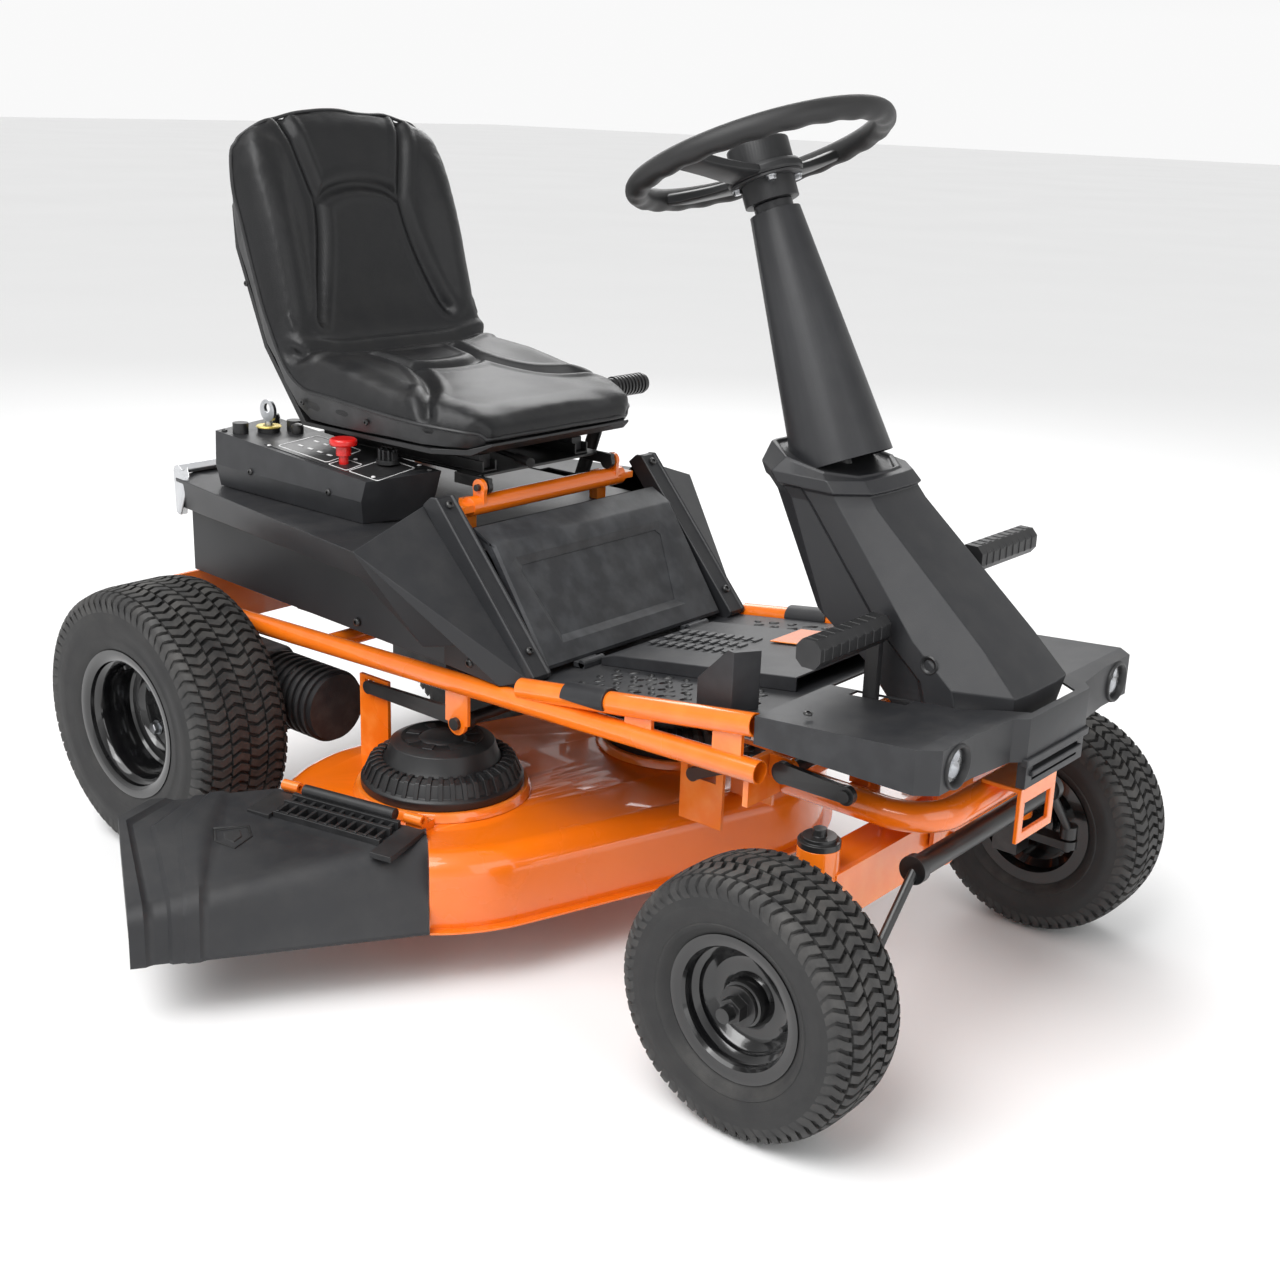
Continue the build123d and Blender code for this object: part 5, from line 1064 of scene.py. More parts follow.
def makeFloorBumps():
    made = []
    for side in (-1, 1):
        for row in range(bumps["rows"]):
            for step in range(bumps["steps"]):
                x = bumps["start"] + bumps["pitch"] * step + bumps["pitch"] / 2 * (row % 2)
                y = side * (bumps["side"] + bumps["apart"] * row)
                lean = bumps["lean"] if (row + step) % 2 else -bumps["lean"]
                made.append(makeBump(x, y, floorTop(x) - 0.4, lean))
    makePiece("floorBumps", made, blackTrim, "chassis", sharp=50)
    made = []
    dx, dy = ridges["length"], ridges["half"]
    for k in range(3):
        y = ridges["apart"] * (k - 1)
        for step in range(ridges["steps"]):
            x = ridges["start"] + ridges["pitch"] * step
            z = floorTop(x) + ridges["lift"] - 0.4
            row = [(x - dx, y - dy, z), (x + dx, y - dy, z), (x + dx, y + dy, z), (x - dx, y + dy, z)]
            top = [(px * ridges["top"] + x * (1 - ridges["top"]), py, pz + ridges["height"])
                   for px, py, pz in row]
            made.append(loft([row, top]))
    makePiece("tunnelRidges", made, blackMoulding, "chassis", bevel=0.4)
    (x0, x1), (y0, y1) = plaque["x"], plaque["y"]
    outline = [(x, y, floorTop(x) + plaque["lift"]) for x, y in ((x0, y0), (x1, y0), (x1, y1), (x0, y1))]
    made = prism(outline, (0, 0, plaque["thick"]))
    makePiece("orangePlaque", made, orangePaint, "chassis", bevel=1.2)


makeFloorBumps()
print("floor ready")


# bumper bars and lamps
lamps = {
    "front": (1286, 203, 445), "rear": (227, 502, 545), "pods": 7.6,
    "ring": [(20.5, -28), (27.0, -28), (27.4, -2), (26.4, 0.8), (24.6, 1.4), (22.6, 0.2), (20.5, -4)],
    "back": [(0, -27), (20, -27), (20, -24), (0, -24)],
    "dish": [(9.2, 0), (8.2, -3), (6.0, -6), (3.0, -8), (0, -8.6), (0, -10), (7, -8), (9.6, -3)],
    "bulb": [(0, 0), (2.6, 0), (2.2, 2.0), (0, 2.8)],
    "glass": [(0, -6.4), (21.0, -7.2), (21.0, -5.6), (12, -4.0), (0, -3.4)],
}


def makeBumperDetail():
    made = [block(1299, 1310, -half, half, z0, z1) for z0, z1, half in ((414, 424, 80), (398, 406, 64))]
    makePiece("bumperBars", made, blackMoulding, "chassis", bevel=1.8)
    ahead = (1, 0, 0)
    made, shine, glass = [], [], []
    x, y, z = lamps["front"]
    pod = lamps["pods"]
    for side in (-1, 1):
        c = (x, side * y, z)
        made.append(lathe(lamps["ring"], c, ahead, 72, closed=True))
        made.append(lathe(lamps["back"], c, ahead, 48))
        for dy, dz in ((-pod, pod), (pod, pod), (-pod, -pod), (pod, -pod)):
            shine.append(lathe(lamps["dish"], (c[0] - 11, c[1] + dy, c[2] + dz), ahead, 32))
            shine.append(lathe(lamps["bulb"], (c[0] - 18, c[1] + dy, c[2] + dz), ahead, 16))
        glass.append(lathe(lamps["glass"], c, ahead, 56))
    makePiece("lampRings", made, blackTrim, "chassis", ("headlight_bezels",), sharp=44)
    makePiece("lampDishes", shine, chromeDish, "chassis", sharp=50)
    y, low, high = lamps["rear"]
    backs = []
    for side in (-1, 1):
        glass.append(block(-112, -105, side * y - 11, side * y + 11, low, high))
        backs.append(block(-110.2, -108.6, side * y - 12, side * y + 12, low - 2, high + 2))
    makePiece("lampGlass", glass, clearLens, "chassis", ("light_lenses",), bevel=0.5)
    makePiece("rearReflectors", backs, stopRed, "chassis", bevel=0.3)


makeBumperDetail()
print("bumper ready")


# discharge chute
chute = {
    # inner edge from the left end to the front, outer crease and outer foot
    "hinge": [(236, -556, 190), (330, -408, 191), (588, -362, 191)],
    "crease": [(440, -730, 150), (600, -372, 189)],
    "foot": [(447, -735, 86), (650, -417, 86)],
    "shoulder": (250, -616, 187), "thick": 3.6, "steps": 80, "wall": 44, "bend": 26.0, "lip": 2.5,
    "outward": (0.844, -0.536, 0),
    # height of the end rib, then (place, change of height) for each step in the roof
    "endRib": 4.5, "ribs": [(0.055, -4.5), (0.125, 4.0), (0.175, 3.0), (0.230, -4.0)], "ribSlope": 0.012,
}


def along(points, t):
    lengths = [(Vector(b) - Vector(a)).length for a, b in zip(points, points[1:])]
    left = t * sum(lengths)
    for (a, b), size in zip(zip(points, points[1:]), lengths):
        if left <= size or size == lengths[-1]:
            return Vector(a).lerp(Vector(b), min(1.0, left / size))
        left -= size
    return Vector(points[-1])


def chuteRidge(t):
    level = chute["endRib"]
    for start, step in chute["ribs"]:
        level += step * min(1.0, max(0.0, (t - start) / chute["ribSlope"]))
    return level


def chuteSection(t):
    inner = along(chute["hinge"], t)
    crease = along(chute["crease"], t)
    foot = along(chute["foot"], t)
    corner = Vector(chute["shoulder"])
    share = min(1.0, t / 0.25)
    shoulder = corner.lerp(inner.lerp(crease, 0.35), share)
    shoulder.z = max(shoulder.z, inner.z * 0.65 + crease.z * 0.35)
    lift = chuteRidge(t)
    down = (foot - crease).normalized()
    flat = (crease - shoulder).normalized()
    span = min(chute["bend"], (foot - crease).length * 0.4)
    before, after = crease - flat * span, crease + down * span
    bend = [before.lerp(crease, f).lerp(crease.lerp(after, f), f) for f in (0.0, 0.2, 0.4, 0.6, 0.8, 1.0)]
    outward = Vector(chute["outward"])
    path = [inner, shoulder] + bend + [foot.lerp(after, 0.5), foot + Vector((0, 0, 5)), foot]
    ups = [1.0, 1.0, 1.0, 0.9, 0.7, 0.5, 0.3, 0.1, 0.0, 0.0, 0.0]
    outer, inside = [], []
    for p, up in zip(path, ups):
        normal = (Vector((0, 0, 1)) * up + outward * (1 - up)).normalized()
        lip = chute["lip"] if p is path[-1] or p is path[-2] else 0.0
        outer.append(p + normal * (max(lift, 0.0) + lip * (1 - up)))
        inside.append(p - normal * chute["thick"])
    return outer + inside[::-1]


def makeChute():
    sections = [chuteSection(k / chute["steps"]) for k in range(chute["steps"] + 1)]
    wall = [Vector((p.x, p.y, max(84.0, p.z - chute["wall"]))) for p in sections[0]]
    makePiece("chuteMoulding", loft([wall] + sections), blackMoulding, "chute", ("discharge_chute",),
              bevel=1.0, sharp=20)


# plain shield on the flat of the chute, with no mark in it
shield = {
    "centre": (392, -533), "u": (0.53, 0.848), "v": (0.848, -0.53),
    "outline": [(-24, -24), (24, -24), (26, 6), (0, 32), (-26, 6)],
    "heart": [(-11, -14), (11, -14), (12, 3), (0, 15), (-12, 3)],
    "frame": [(1, 0.2), (0.97, 1.6), (0.86, 1.6), (0.84, 0.4)], "heartRings": [(1, 0.2), (0.9, 1.5)],
}


def onRoof(a, b, lift):
    (cx, cy), (ux, uy), (vx, vy) = shield["centre"], shield["u"], shield["v"]
    x, y = cx + ux * a + vx * b, cy + uy * a + vy * b
    return Vector((x, y, roofHeight(x, y) + lift))


def makeShield():
    frame = [[onRoof(a * grow, b * grow, lift) for a, b in shield["outline"]] for grow, lift in shield["frame"]]
    heart = [[onRoof(a * grow, b * grow, lift) for a, b in shield["heart"]]
             for grow, lift in shield["heartRings"]]
    makePiece("chuteShield", [loft(frame, caps=False), loft(heart)], blackTrim, "chute")


def roofHeight(x, y):
    # the flat falls away from the hinge line towards the outer crease
    best, height = 1e9, 190.0
    for k in range(0, chute["steps"] + 1, 2):
        ring = chuteSection(k / chute["steps"])
        for a, b in zip(ring[:3], ring[1:4]):
            ab = b - a
            reach = (x - a.x) * ab.x + (y - a.y) * ab.y
            t = max(0.0, min(1.0, reach / max(1e-6, ab.x ** 2 + ab.y ** 2)))
            p = a + ab * t
            gap = (p.x - x) ** 2 + (p.y - y) ** 2
            if gap < best:
                best, height = gap, p.z
    return height


bracket = {
    "foot": (330, -408), "run": (583 - 330, -353 + 408), "tilt": 0.12, "base": 191,
    # slabs as (start, end) along the hinge, (inner, outer) across it, and top
    "rails": [(46, 226, 18, 25, 207), (46, 226, 38, 43, 207), (46, 226, 60, 67, 202)],
    "bars": {"count": 11, "start": 50, "pitch": 16.5, "width": 5, "across": (18, 66), "top": 204},
    "ends": [(6, 44, 14, 74, 199), (228, 262, 14, 92, 199)],
    "pin": (60, 214, 14, 210, 8.5),
}


def makeBracket():
    # grille bracket over the hinge
    run = Vector((*bracket["run"], 0)).normalized()
    out = Vector((run.y, -run.x, 0))
    foot = Vector((*bracket["foot"], 0))

    def spot(a, b, z):
        p = foot + run * a + out * b
        return Vector((p.x, p.y, z))

    def slab(a0, a1, b0, b1, top):
        low = [spot(a, b, bracket["base"] - (b - 8) * bracket["tilt"])
               for a, b in ((a0, b0), (a1, b0), (a1, b1), (a0, b1))]
        return prism(low, (0, 0, top - bracket["base"]))

    bars = bracket["bars"]
    made = [slab(*rail) for rail in bracket["rails"]]
    for k in range(bars["count"]):
        a = bars["start"] + bars["pitch"] * k
        made.append(slab(a, a + bars["width"], *bars["across"], bars["top"]))
    made += [slab(*end) for end in bracket["ends"]]
    a0, a1, b, z, radius = bracket["pin"]
    made.append(pipe([spot(a0, b, z), spot(a1, b, z)], radius, 20))
    makePiece("chuteBracket", made, blackTrim, "chute", bevel=0.8)


makeChute()
makeBracket()
makeShield()
print("chute ready")


# steering shroud, a loft through level outlines
shroud = {
    # height: rear, widest, front and nose points of the right half as (x, half width)
    "levels": {
        735: ((888, 45), (940, 82), (1000, 82), (1032, 50)),
        708: ((884, 50), (930, 92), (1010, 90), (1042, 54)),
        690: ((894, 49), (940, 88), (1020, 88), (1053, 55)),
        675: ((905, 45), (950, 82), (1030, 86), (1066, 56)),
        535: ((985, 55), (1010, 82), (1150, 92), (1230, 62)),
        488: ((1060, 60), (1085, 88), (1210, 96), (1278, 66)),
        440: ((1105, 60), (1130, 90), (1225, 96), (1272, 50)),
    },
    # rings from the foot up as (level, inset, depth of the side step, lift)
    "rings": [(440, 3.5, 0, -4), (440, 0, 6, 0), (488, 0, 6, 0), (535, 0, 6, 0), (675, 0, 6, 0), (690, 0, 6, 0),
              (690, -3.5, 0, 4), (708, -1.5, 0, 0), (735, 1.5, 0, -3), (735, 3.0, 0, 0), (735, 7.0, 0, -1),
              (735, 9.0, 0, -5)],
    "band": 44.0, "topSlope": 24.0, "port": (1176, 93.5, 512),
    "portRing": [(6.5, -2), (10.5, -2), (12.0, 0.5), (10.5, 2.0), (7.6, 1.2), (6.5, -1.2)],
    "portBack": [(0, -4), (7, -4), (6.4, -2.2), (3, -1.6), (0, -1.6)],
}


def shroudRing(level, inset, step, lift):
    (rx, ry), (bx, by), (fx, fy), (nx, ny) = shroud["levels"][level]
    band = shroud["band"]
    y1 = fy - (fy - by) * band / (fx - bx)
    right = [(rx, ry - 8), (rx + 1.5, ry), (bx, by - step), (fx - band - 8, y1 - step), (fx - band, y1),
             (fx, fy), (nx, ny), (nx + 3, ny * 0.5)]
    fall = shroud["topSlope"] if level == 735 else 0.0
    pts = []
    for x, y in right:
        share = (x - rx) / (nx - rx)
        pts.append((x + inset * (1 - 2 * share), y - inset, level + lift - fall * share))
    return [(x, -y, z) for x, y, z in pts] + [(x, y, z) for x, y, z in reversed(pts)]


def makeShroud():
    rings = [shroudRing(*ring) for ring in shroud["rings"]]
    makePiece("steeringShroud", loft(rings), blackMoulding, "chassis", ("shroud_right", "shroud_left"),
              bevel=4.0, segments=3, angle=16, sharp=60, weld=False)
    made = []
    x, y, z = shroud["port"]
    for side in (-1, 1):
        made.append(lathe(shroud["portRing"], (x, side * y, z), (0, side, 0), 40, closed=True))
        made.append(lathe(shroud["portBack"], (x, side * y, z), (0, side, 0), 32))
    makePiece("shroudPorts", made, blackTrim, "chassis", sharp=50)


makeShroud()
print("shroud ready")


# fins and cross ribs on the pedal bars
pedals = {
    "x": 1110, "heights": {"right": 548, "left": 594}, "fins": 8, "pitch": 17.2, "start": 118, "thick": 10.4,
    "radius": 19.6, "ribs": {"start": 129.5, "x": (1088.5, 1094), "long": 5, "at": (-7, 5), "half": 3},
}


def makePedalFins():
    ribs = pedals["ribs"]
    for tag, side in (("right", -1), ("left", 1)):
        height = pedals["heights"][tag]
        made = []
        for k in range(pedals["fins"]):
            y = side * (pedals["start"] + pedals["pitch"] * k)
            corners = [math.radians(22.5 + 45 * n) for n in range(8)]
            ring = [(pedals["x"] + pedals["radius"] * math.cos(a), y, height + pedals["radius"] * math.sin(a))
                    for a in corners]
            made.append(prism(ring, (0, side * pedals["thick"], 0)))
        for k in range(pedals["fins"] - 1):
            y = side * (ribs["start"] + pedals["pitch"] * k)
            ends = sorted((y, y + side * ribs["long"]))
            for rise in ribs["at"]:
                z = height + rise
                made.append(block(*ribs["x"], *ends, z - ribs["half"], z + ribs["half"]))
        makePiece("pedalFins_" + tag, made, blackTrim, "pedal_" + tag, bevel=1.2)


makePedalFins()
print("pedals ready")


# battery door; u runs across, v up the slope and h out of it
door = {
    "foot": (652, 396), "run": (-0.5717, 0.8205), "out": (0.8205, 0.5717), "half": 193,
    # sheet and top rail as (v, h)
    "sheet": [(5, -12), (5, -8), (180, -8), (200, -9), (226, -26), (222, -32), (190, -15), (176, -13)],
    "rail": [(190, -1), (196, -3), (228, -21), (226, -27), (198, -10)],
    # pressed field as (u, v), at its lip and at its floor
    "lip": [(-146, 34), (126, 34), (160, 150), (150, 168), (-162, 168), (-169, 152)],
    "field": [(-135, 46), (115, 46), (147, 148), (139, 157), (-150, 157), (-156, 148)],
    "hinges": {"side": 118, "half": 22, "radius": 5.6},
}


def onDoor(u, v, h):
    fx, fz = door["foot"]
    (rx, rz), (ox, oz) = door["run"], door["out"]
    return Vector((fx + rx * v + ox * h, u, fz + rz * v + oz * h))


def makeDoor():
    half = door["half"]

    def ring(points, h):
        return [onDoor(u, v, h) for u, v in points]

    def bar(section):
        return loft([[onDoor(u, v, h) for v, h in section] for u in (-half, half)])

    outer = [(-half, 5), (half, 5), (half, 150), (half, 196), (-half, 196), (-half, 150)]
    lipped = [(-half + 4, 9), (half - 4, 9), (half - 4, 150), (half - 5, 191), (-half + 5, 191),
              (-half + 4, 150)]
    face = [ring(outer, -8), ring(outer, -3), ring(lipped, 0), ring(door["lip"], 0),
            ring(door["field"], -7), ring(door["field"], -8)]
    made = [bar(door["sheet"]), loft(face, caps=False), bar(door["rail"])]
    hinges = door["hinges"]
    for side in (-1, 1):
        y0, y1 = side * hinges["side"] - hinges["half"], side * hinges["side"] + hinges["half"]
        made.append(block(648, 668, y0, y1, 392.5, 399))
        made.append(pipe([(662, y0, 398), (662, y1, 398)], hinges["radius"], 20))
    makePiece("batteryDoor", made, blackMoulding, "battery_door", ("battery_cover",),
              bevel=2.0, segments=3)


makeDoor()
print("battery door ready")


# console lid, which falls forwards and outwards
lid = {
    "rear": 4.0, "high": 648.0, "inner": -140.0, "fallAhead": (24, 380), "fallOut": (8, 112),
    # printed outlines as (corners, corner radius, line width)
    "outlines": [
        ([(132, -236), (132, -158), (236, -160), (246, -236)], 7, 2.2),
        ([(252, -240), (250, -205), (288, -204), (294, -240)], 5, 1.8),
        ([(296, -240), (290, -158), (352, -160), (360, -240)], 6, 1.8),
    ],
    "ticks": {"start": (150, -182), "pitch": (22, -30), "count": (4, 2), "size": (10, 4)},
    "dots": [(262, -196), (346, -148), (342, -232), (124, -244)],
    "key": (62, -196), "keyRing": [(8, 6.5), (18.5, 6.5), (19.5, 8), (18.0, 9.5), (9, 9.5)],
    "caps": [(28, -160), (36, -232), (98, -170)],
    "cap": [(0, 0), (9, 0), (10, 8), (8.5, 13), (4, 15), (0, 15.5)],
    "screws": [(16, -244), (16, -150), (372, -152)],
    "knob": (312, -178, 8), "knobRibs": 10, "knobRadius": 12.4, "knobHigh": 16,
}


def onLid(x, y, lift=0.0):
    ahead = (x - lid["rear"]) * lid["fallAhead"][0] / lid["fallAhead"][1]
    outwards = (lid["inner"] - y) * lid["fallOut"][0] / lid["fallOut"][1]
    return Vector((x, y, lid["high"] - ahead - outwards + lift))


def roundLoop(corners, radius, steps=5):
    out = []
    count = len(corners)
    for k in range(count):
        p, a, b = (Vector(corners[(k + d) % count]) for d in (0, -1, 1))
        before = p + (a - p).normalized() * radius
        after = p + (b - p).normalized() * radius
        for s in range(steps + 1):
            f = s / steps
            out.append(before.lerp(p, f).lerp(p.lerp(after, f), f))
    return out


def lidOutline(corners, radius, width, low, high):
    # a thin printed line round rounded corners
    loop = roundLoop([(x, y, 0) for x, y in corners], radius)
    middle = sum(loop, Vector()) / len(loop)
    rings = []
    for inset, lift in ((0, low), (0, high), (width, high), (width, low)):
        ring = []
        for p in loop:
            q = p - (p - middle).normalized() * inset
            ring.append(onLid(q.x, q.y, lift))
        rings.append(ring)
    return loft(rings, caps=False, lengthClosed=True)


def makeConsole():
    up = (0, 0, 1)
    prints = [lidOutline(corners, radius, width, 1.0, 1.5) for corners, radius, width in lid["outlines"]]
    ticks = lid["ticks"]
    (tx, ty), (px, py), (dx, dy) = ticks["start"], ticks["pitch"], ticks["size"]
    for k in range(ticks["count"][0]):
        for row in range(ticks["count"][1]):
            x, y = tx + px * k, ty + py * row
            shape = [onLid(x, y, 1.0), onLid(x + dx, y, 1.0), onLid(x + dx, y + dy, 1.0), onLid(x, y + dy, 1.0)]
            prints.append(prism(shape, (0, 0, 0.5)))
    for x, y in lid["dots"]:
        prints.append(lathe([(0, 0), (3.4, 0), (2.4, 1.6), (0, 2.0)], onLid(x, y, 1.0), up, 20))
    makePiece("panelPrint", prints, whitePrint, "chassis")
    ring = lathe(lid["keyRing"], onLid(*lid["key"]), up, 48, closed=True)
    makePiece("lockRing", ring, brassYellow, "chassis", sharp=40)
    made = [lathe(lid["cap"], onLid(x, y), up, 32) for x, y in lid["caps"]]
    for x, y in lid["screws"]:
        made += panScrew(onLid(x, y, 0.2), up, 9, 3)
    makePiece("lidCaps", made, blackSteel, "chassis", sharp=40)
    c = onLid(*lid["knob"])
    made = []
    for k in range(lid["knobRibs"]):
        a = 2 * math.pi * k / lid["knobRibs"]
        x, y = c.x + lid["knobRadius"] * math.cos(a), c.y + lid["knobRadius"] * math.sin(a)
        made.append(pipe([(x, y, c.z), (x, y, c.z + lid["knobHigh"])], 2.2, 10))
    mark = [(c.x + u, c.y + v, c.z + 18) for u, v in ((-11, -1.4), (11, -1.4), (11, 1.4), (-11, 1.4))]
    made.append(prism(mark, (0, 0, 1.6)))
    makePiece("knobGrip", made, blackTrim, "knob", bevel=0.5)


makeConsole()
print("console ready")


# side panels and their front strips
panel = {
    "skin": 3.0, "slot": (244, 236), "edge": 3.2,
    # raised strip between the panel and the door: sides, ends as (x, z), and its rings from the top as
    # (share of the way down, how far it sinks)
    "strip": (200, 236), "stripTop": (468, 618), "stripFoot": (664, 397),
    "stripRings": [(0.0, -9.0), (7.0 / 292, 0.0), (0.5, 0.0), (0.985, 0.0), (1.0, -5.0)],
    "points": {
        "rearTop": (-110, 214, 552), "rearEdge": (-110, 250, 547), "rearBand": (-110, 244, 500),
        "rearShelf": (-110, 222, 492), "rearSill": (-110, 222, 392), "topIn": (392, 216, 553),
        "topOut": (392, 350, 555), "peak": (446, 361, 556), "shoulder": (447, 216, 604),
        "bandEnd": (430, 338, 514), "cheek": (505, 290, 420), "notch": (572, 264, 432),
        "toe": (620, 258, 384), "foot": (654, 234, 394), "shelfEnd": (430, 250, 490),
        "cheekIn": (505, 250, 420), "sillA": (430, 250, 388), "sillB": (505, 250, 386),
    },
    "faces": [
        ("rearTop", "rearEdge", "topOut", "topIn"), ("topIn", "topOut", "peak", "shoulder"),
        ("rearEdge", "rearBand", "bandEnd", "topOut"), ("topOut", "bandEnd", "peak"),
        ("peak", "bandEnd", "cheek"), ("peak", "cheek", "notch"), ("peak", "notch", "toe"),
        ("peak", "toe", "foot"), ("peak", "foot", "shoulder"), ("rearBand", "rearShelf", "shelfEnd", "bandEnd"),
        ("bandEnd", "shelfEnd", "cheekIn", "cheek"), ("cheek", "cheekIn", "notch"),
        ("rearShelf", "rearSill", "sillA", "shelfEnd"), ("shelfEnd", "sillA", "sillB", "cheekIn"),
        ("cheekIn", "sillB", "toe", "notch"),
    ],
}


def makeSidePanel(side, tag):
    names = list(panel["points"])
    pts = [(x, side * y, z) for x, y, z in panel["points"].values()]
    faces = [tuple(names.index(n) for n in face) for face in panel["faces"]]
    if side > 0:
        # open slot beside the lever
        x0, y0 = panel["slot"]
        pts += [(x0, 214.7, 552.7), (x0, y0, 552.7), (392, y0, 553), (440, y0, 598)]
        base = len(names)
        cut = {n: names.index(n) for n in ("rearTop", "rearEdge", "topOut", "peak", "shoulder", "foot")}
        faces[0] = (cut["rearTop"], cut["rearEdge"], cut["topOut"], base + 2, base + 1, base)
        faces[1] = (base + 2, cut["topOut"], cut["peak"], base + 3)
        faces[8] = (cut["peak"], cut["foot"], cut["shoulder"], base + 3)
    piece = makePiece("sidePanel_" + tag, (pts, faces), blackMoulding, "chassis", ("side_panel_" + tag,),
                      sharp=12)
    if sum(f.normal.z for f in piece.data.polygons[:1]) < 0:
        piece.data.flip_normals()
    shell = piece.modifiers.new("skin", "SOLIDIFY")
    shell.thickness = panel["skin"] / 1000
    shell.offset = -1
    finish(piece, panel["edge"], 3, 10)


def makeStrip(side, tag):
    (x0, z0), (x1, z1) = panel["stripTop"], panel["stripFoot"]
    run = Vector((x1 - x0, 0, z1 - z0)).normalized()
    out = Vector((-run.z, 0, run.x))
    y0, y1 = panel["strip"]
    shape = [(y0, -26), (y0, 0.5), (y0 + 1.5, 2.6), (y0 + 4.5, 2.6), (y0 + 6.5, 0), (y1 - 6.5, 0),
             (y1 - 4.5, 2.6), (y1 - 1.5, 2.6), (y1, 0.5), (y1, -26)]
    rings = []
    for share, sink in panel["stripRings"]:
        centre = Vector((x0, 0, z0)).lerp(Vector((x1, 0, z1)), share)
        rings.append([centre + out * (h + sink if h > -20 else h) + Vector((0, side * y, 0))
                      for y, h in shape])
    makePiece("frontStrip_" + tag, loft(rings), blackMoulding, "chassis", bevel=1.6,
              sharp=30)


for side, tag in ((-1, "right"), (1, "left")):
    makeSidePanel(side, tag)
    makeStrip(side, tag)
print("side panels ready")


# rear corner lights and cover screws
rear = {
    "bar": [(-121, 551), (-106, 552), (-96, 560), (-108, 568), (-119, 564)], "barHalf": 246,
    "corner": (228, 251),
    # corner lamps as (x, inner or outer side, how far out from it, z)
    "cornerLow": [(-119, 0, 0, 486), (-112, 0, 0, 484), (-98, 1, 0, 488), (-104, 1, 2, 490),
                  (-119, 1, -6, 488)],
    "cornerHigh": [(-121, 0, 0, 562), (-108, 0, 0, 566), (-70, 1, 0, 556), (-80, 1, 3, 553),
                   (-120, 1, -4, 560)],
}
screws = {
    # two on each strip, two on each side, one on each end of the bumper and two on the console
    "stripTop": (470, 218, 616), "stripRun": (664 - 470, 0, 398 - 616), "stripOut": (218, 0, 194),
    "stripShares": (0.06, 0.86), "side": [(318, 246, 404), (560, 254, 402)], "bumper": (1100, 232, 466),
    "console": [(90, -254, 590), (270, -254, 590)],
}


def makeRearLens():
    made = [loft([[(x, y, z) for x, z in rear["bar"]] for y in (-rear["barHalf"], rear["barHalf"])])]
    for side in (-1, 1):
        made.append(loft([[(x, side * (rear["corner"][edge] + out), z) for x, edge, out, z in rear[level]]
                          for level in ("cornerLow", "cornerHigh")]))
    makePiece("rearLens", made, silverLens, "chassis", bevel=2.0)


def makeScrews():
    made = []
    run = Vector(screws["stripRun"])
    out = Vector(screws["stripOut"]).normalized()
    top = screws["stripTop"]
    for side in (-1, 1):
        for share in screws["stripShares"]:
            made += panScrew(Vector((top[0], side * top[1], top[2])) + run * share + out * 1.0, out, 12, 4.2)
        for x, y, z in screws["side"]:
            made += panScrew((x, side * y, z), (0, side, 0), 13, 4.4)
        x, y, z = screws["bumper"]
        made += panScrew((x, side * y, z), (0.1, 0, 1), 11, 3.6)
    for foot in screws["console"]:
        made += panScrew(foot, (0, -1, 0), 10, 3.6)
    makePiece("coverScrews", made, blackSteel, "chassis", ("body_screws",), sharp=50)


makeRearLens()
makeScrews()
print("rear and screws ready")


# studio floor, lights and sky
studio = {
    "floor": 90.0, "sun": 1.5, "sunAngle": 50, "sunLean": (24, -12), "sky": 0.5, "horizon": 0.95,
    "middle": (500, 0, 500),
    # place, size in metres and power of each soft box
    "lights": {
        "keyLight": ((900, -2400, 2900), (2.6, 2.0), 80), "fillLight": ((3600, -400, 1500), (2.4, 2.4), 24),
        "rimLight": ((-1600, 2400, 2600), (3.0, 1.6), 55),
    },
}


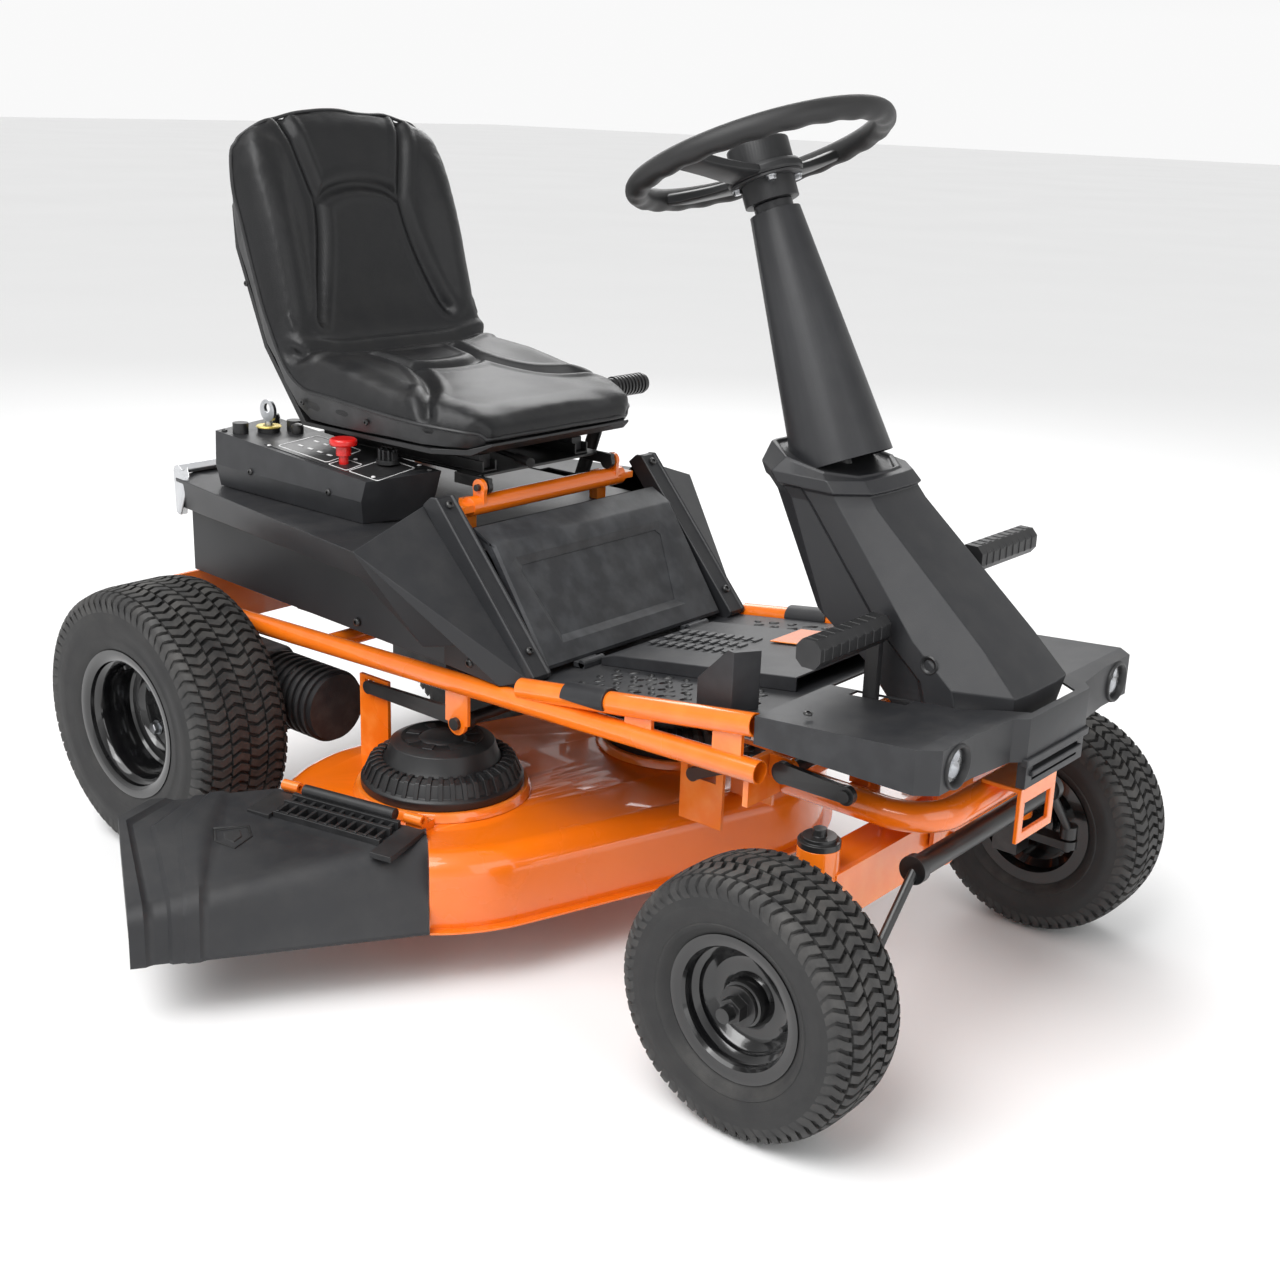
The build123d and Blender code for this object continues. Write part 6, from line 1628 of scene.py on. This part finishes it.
def makeFloorPaint():
    mat = bpy.data.materials.new("studioFloor")
    mat.use_nodes = True
    tree = mat.node_tree
    shader = tree.nodes["Principled BSDF"]
    grain = addNode(tree, "ShaderNodeGroup", node_tree=grainGroup)
    for key, value in (("Base", tone(0.86, 0.86, 0.86)), ("Cloud", tone(0.84, 0.84, 0.84)),
                       ("Grain Scale", 40.0), ("Cloud Scale", 0.6), ("Rough Low", 0.6), ("Rough High", 0.7)):
        grain.inputs[key].default_value = value
    tree.links.new(grain.outputs["Color"], shader.inputs["Base Color"])
    tree.links.new(grain.outputs["Roughness"], shader.inputs["Roughness"])
    return mat


def areaLight(name, place, target, size, power):
    data = bpy.data.lights.new(name, "AREA")
    data.shape = "RECTANGLE"
    data.size, data.size_y = size
    data.energy = power
    lamp = bpy.data.objects.new(name, data)
    spot, aim = at(*place), at(*target)
    lamp.matrix_world = Matrix.Translation(spot) @ (spot - aim).to_track_quat("Z", "Y").to_matrix().to_4x4()
    bpy.context.collection.objects.link(lamp)


def makeGround():
    half = studio["floor"] / 2
    corners = [(-half, -half, 0), (half, -half, 0), (half, half, 0), (-half, half, 0)]
    mesh = bpy.data.meshes.new("studioFloor")
    mesh.from_pydata(corners, [], [(0, 1, 2, 3)])
    mesh.materials.append(makeFloorPaint())
    ground = bpy.data.objects.new("studioFloor", mesh)
    bpy.context.collection.objects.link(ground)


def makeSun():
    sun = bpy.data.lights.new("softSun", "SUN")
    sun.energy = studio["sun"]
    sun.angle = math.radians(studio["sunAngle"])
    lamp = bpy.data.objects.new("softSun", sun)
    lamp.rotation_euler = (*(math.radians(lean) for lean in studio["sunLean"]), 0)
    bpy.context.collection.objects.link(lamp)


def makeSky():
    # brighter near the horizon than overhead
    world = bpy.data.worlds.new("studioSky")
    world.use_nodes = True
    tree = world.node_tree
    split = tree.nodes.new("ShaderNodeSeparateXYZ")
    tree.links.new(tree.nodes.new("ShaderNodeTexCoord").outputs["Generated"], split.inputs[0])
    strength = spread(tree, split.outputs["Z"], 0.05, 0.45, studio["horizon"], studio["sky"])
    tree.nodes["Background"].inputs["Color"].default_value = (1, 1, 1, 1)
    tree.links.new(strength, tree.nodes["Background"].inputs["Strength"])
    bpy.context.scene.world = world
    bpy.context.scene.view_settings.view_transform = "Standard"


def makeStudio():
    makeGround()
    for name, (place, size, power) in studio["lights"].items():
        areaLight(name, place, studio["middle"], size, power)
    makeSun()
    makeSky()


makeStudio()
print("studio ready")
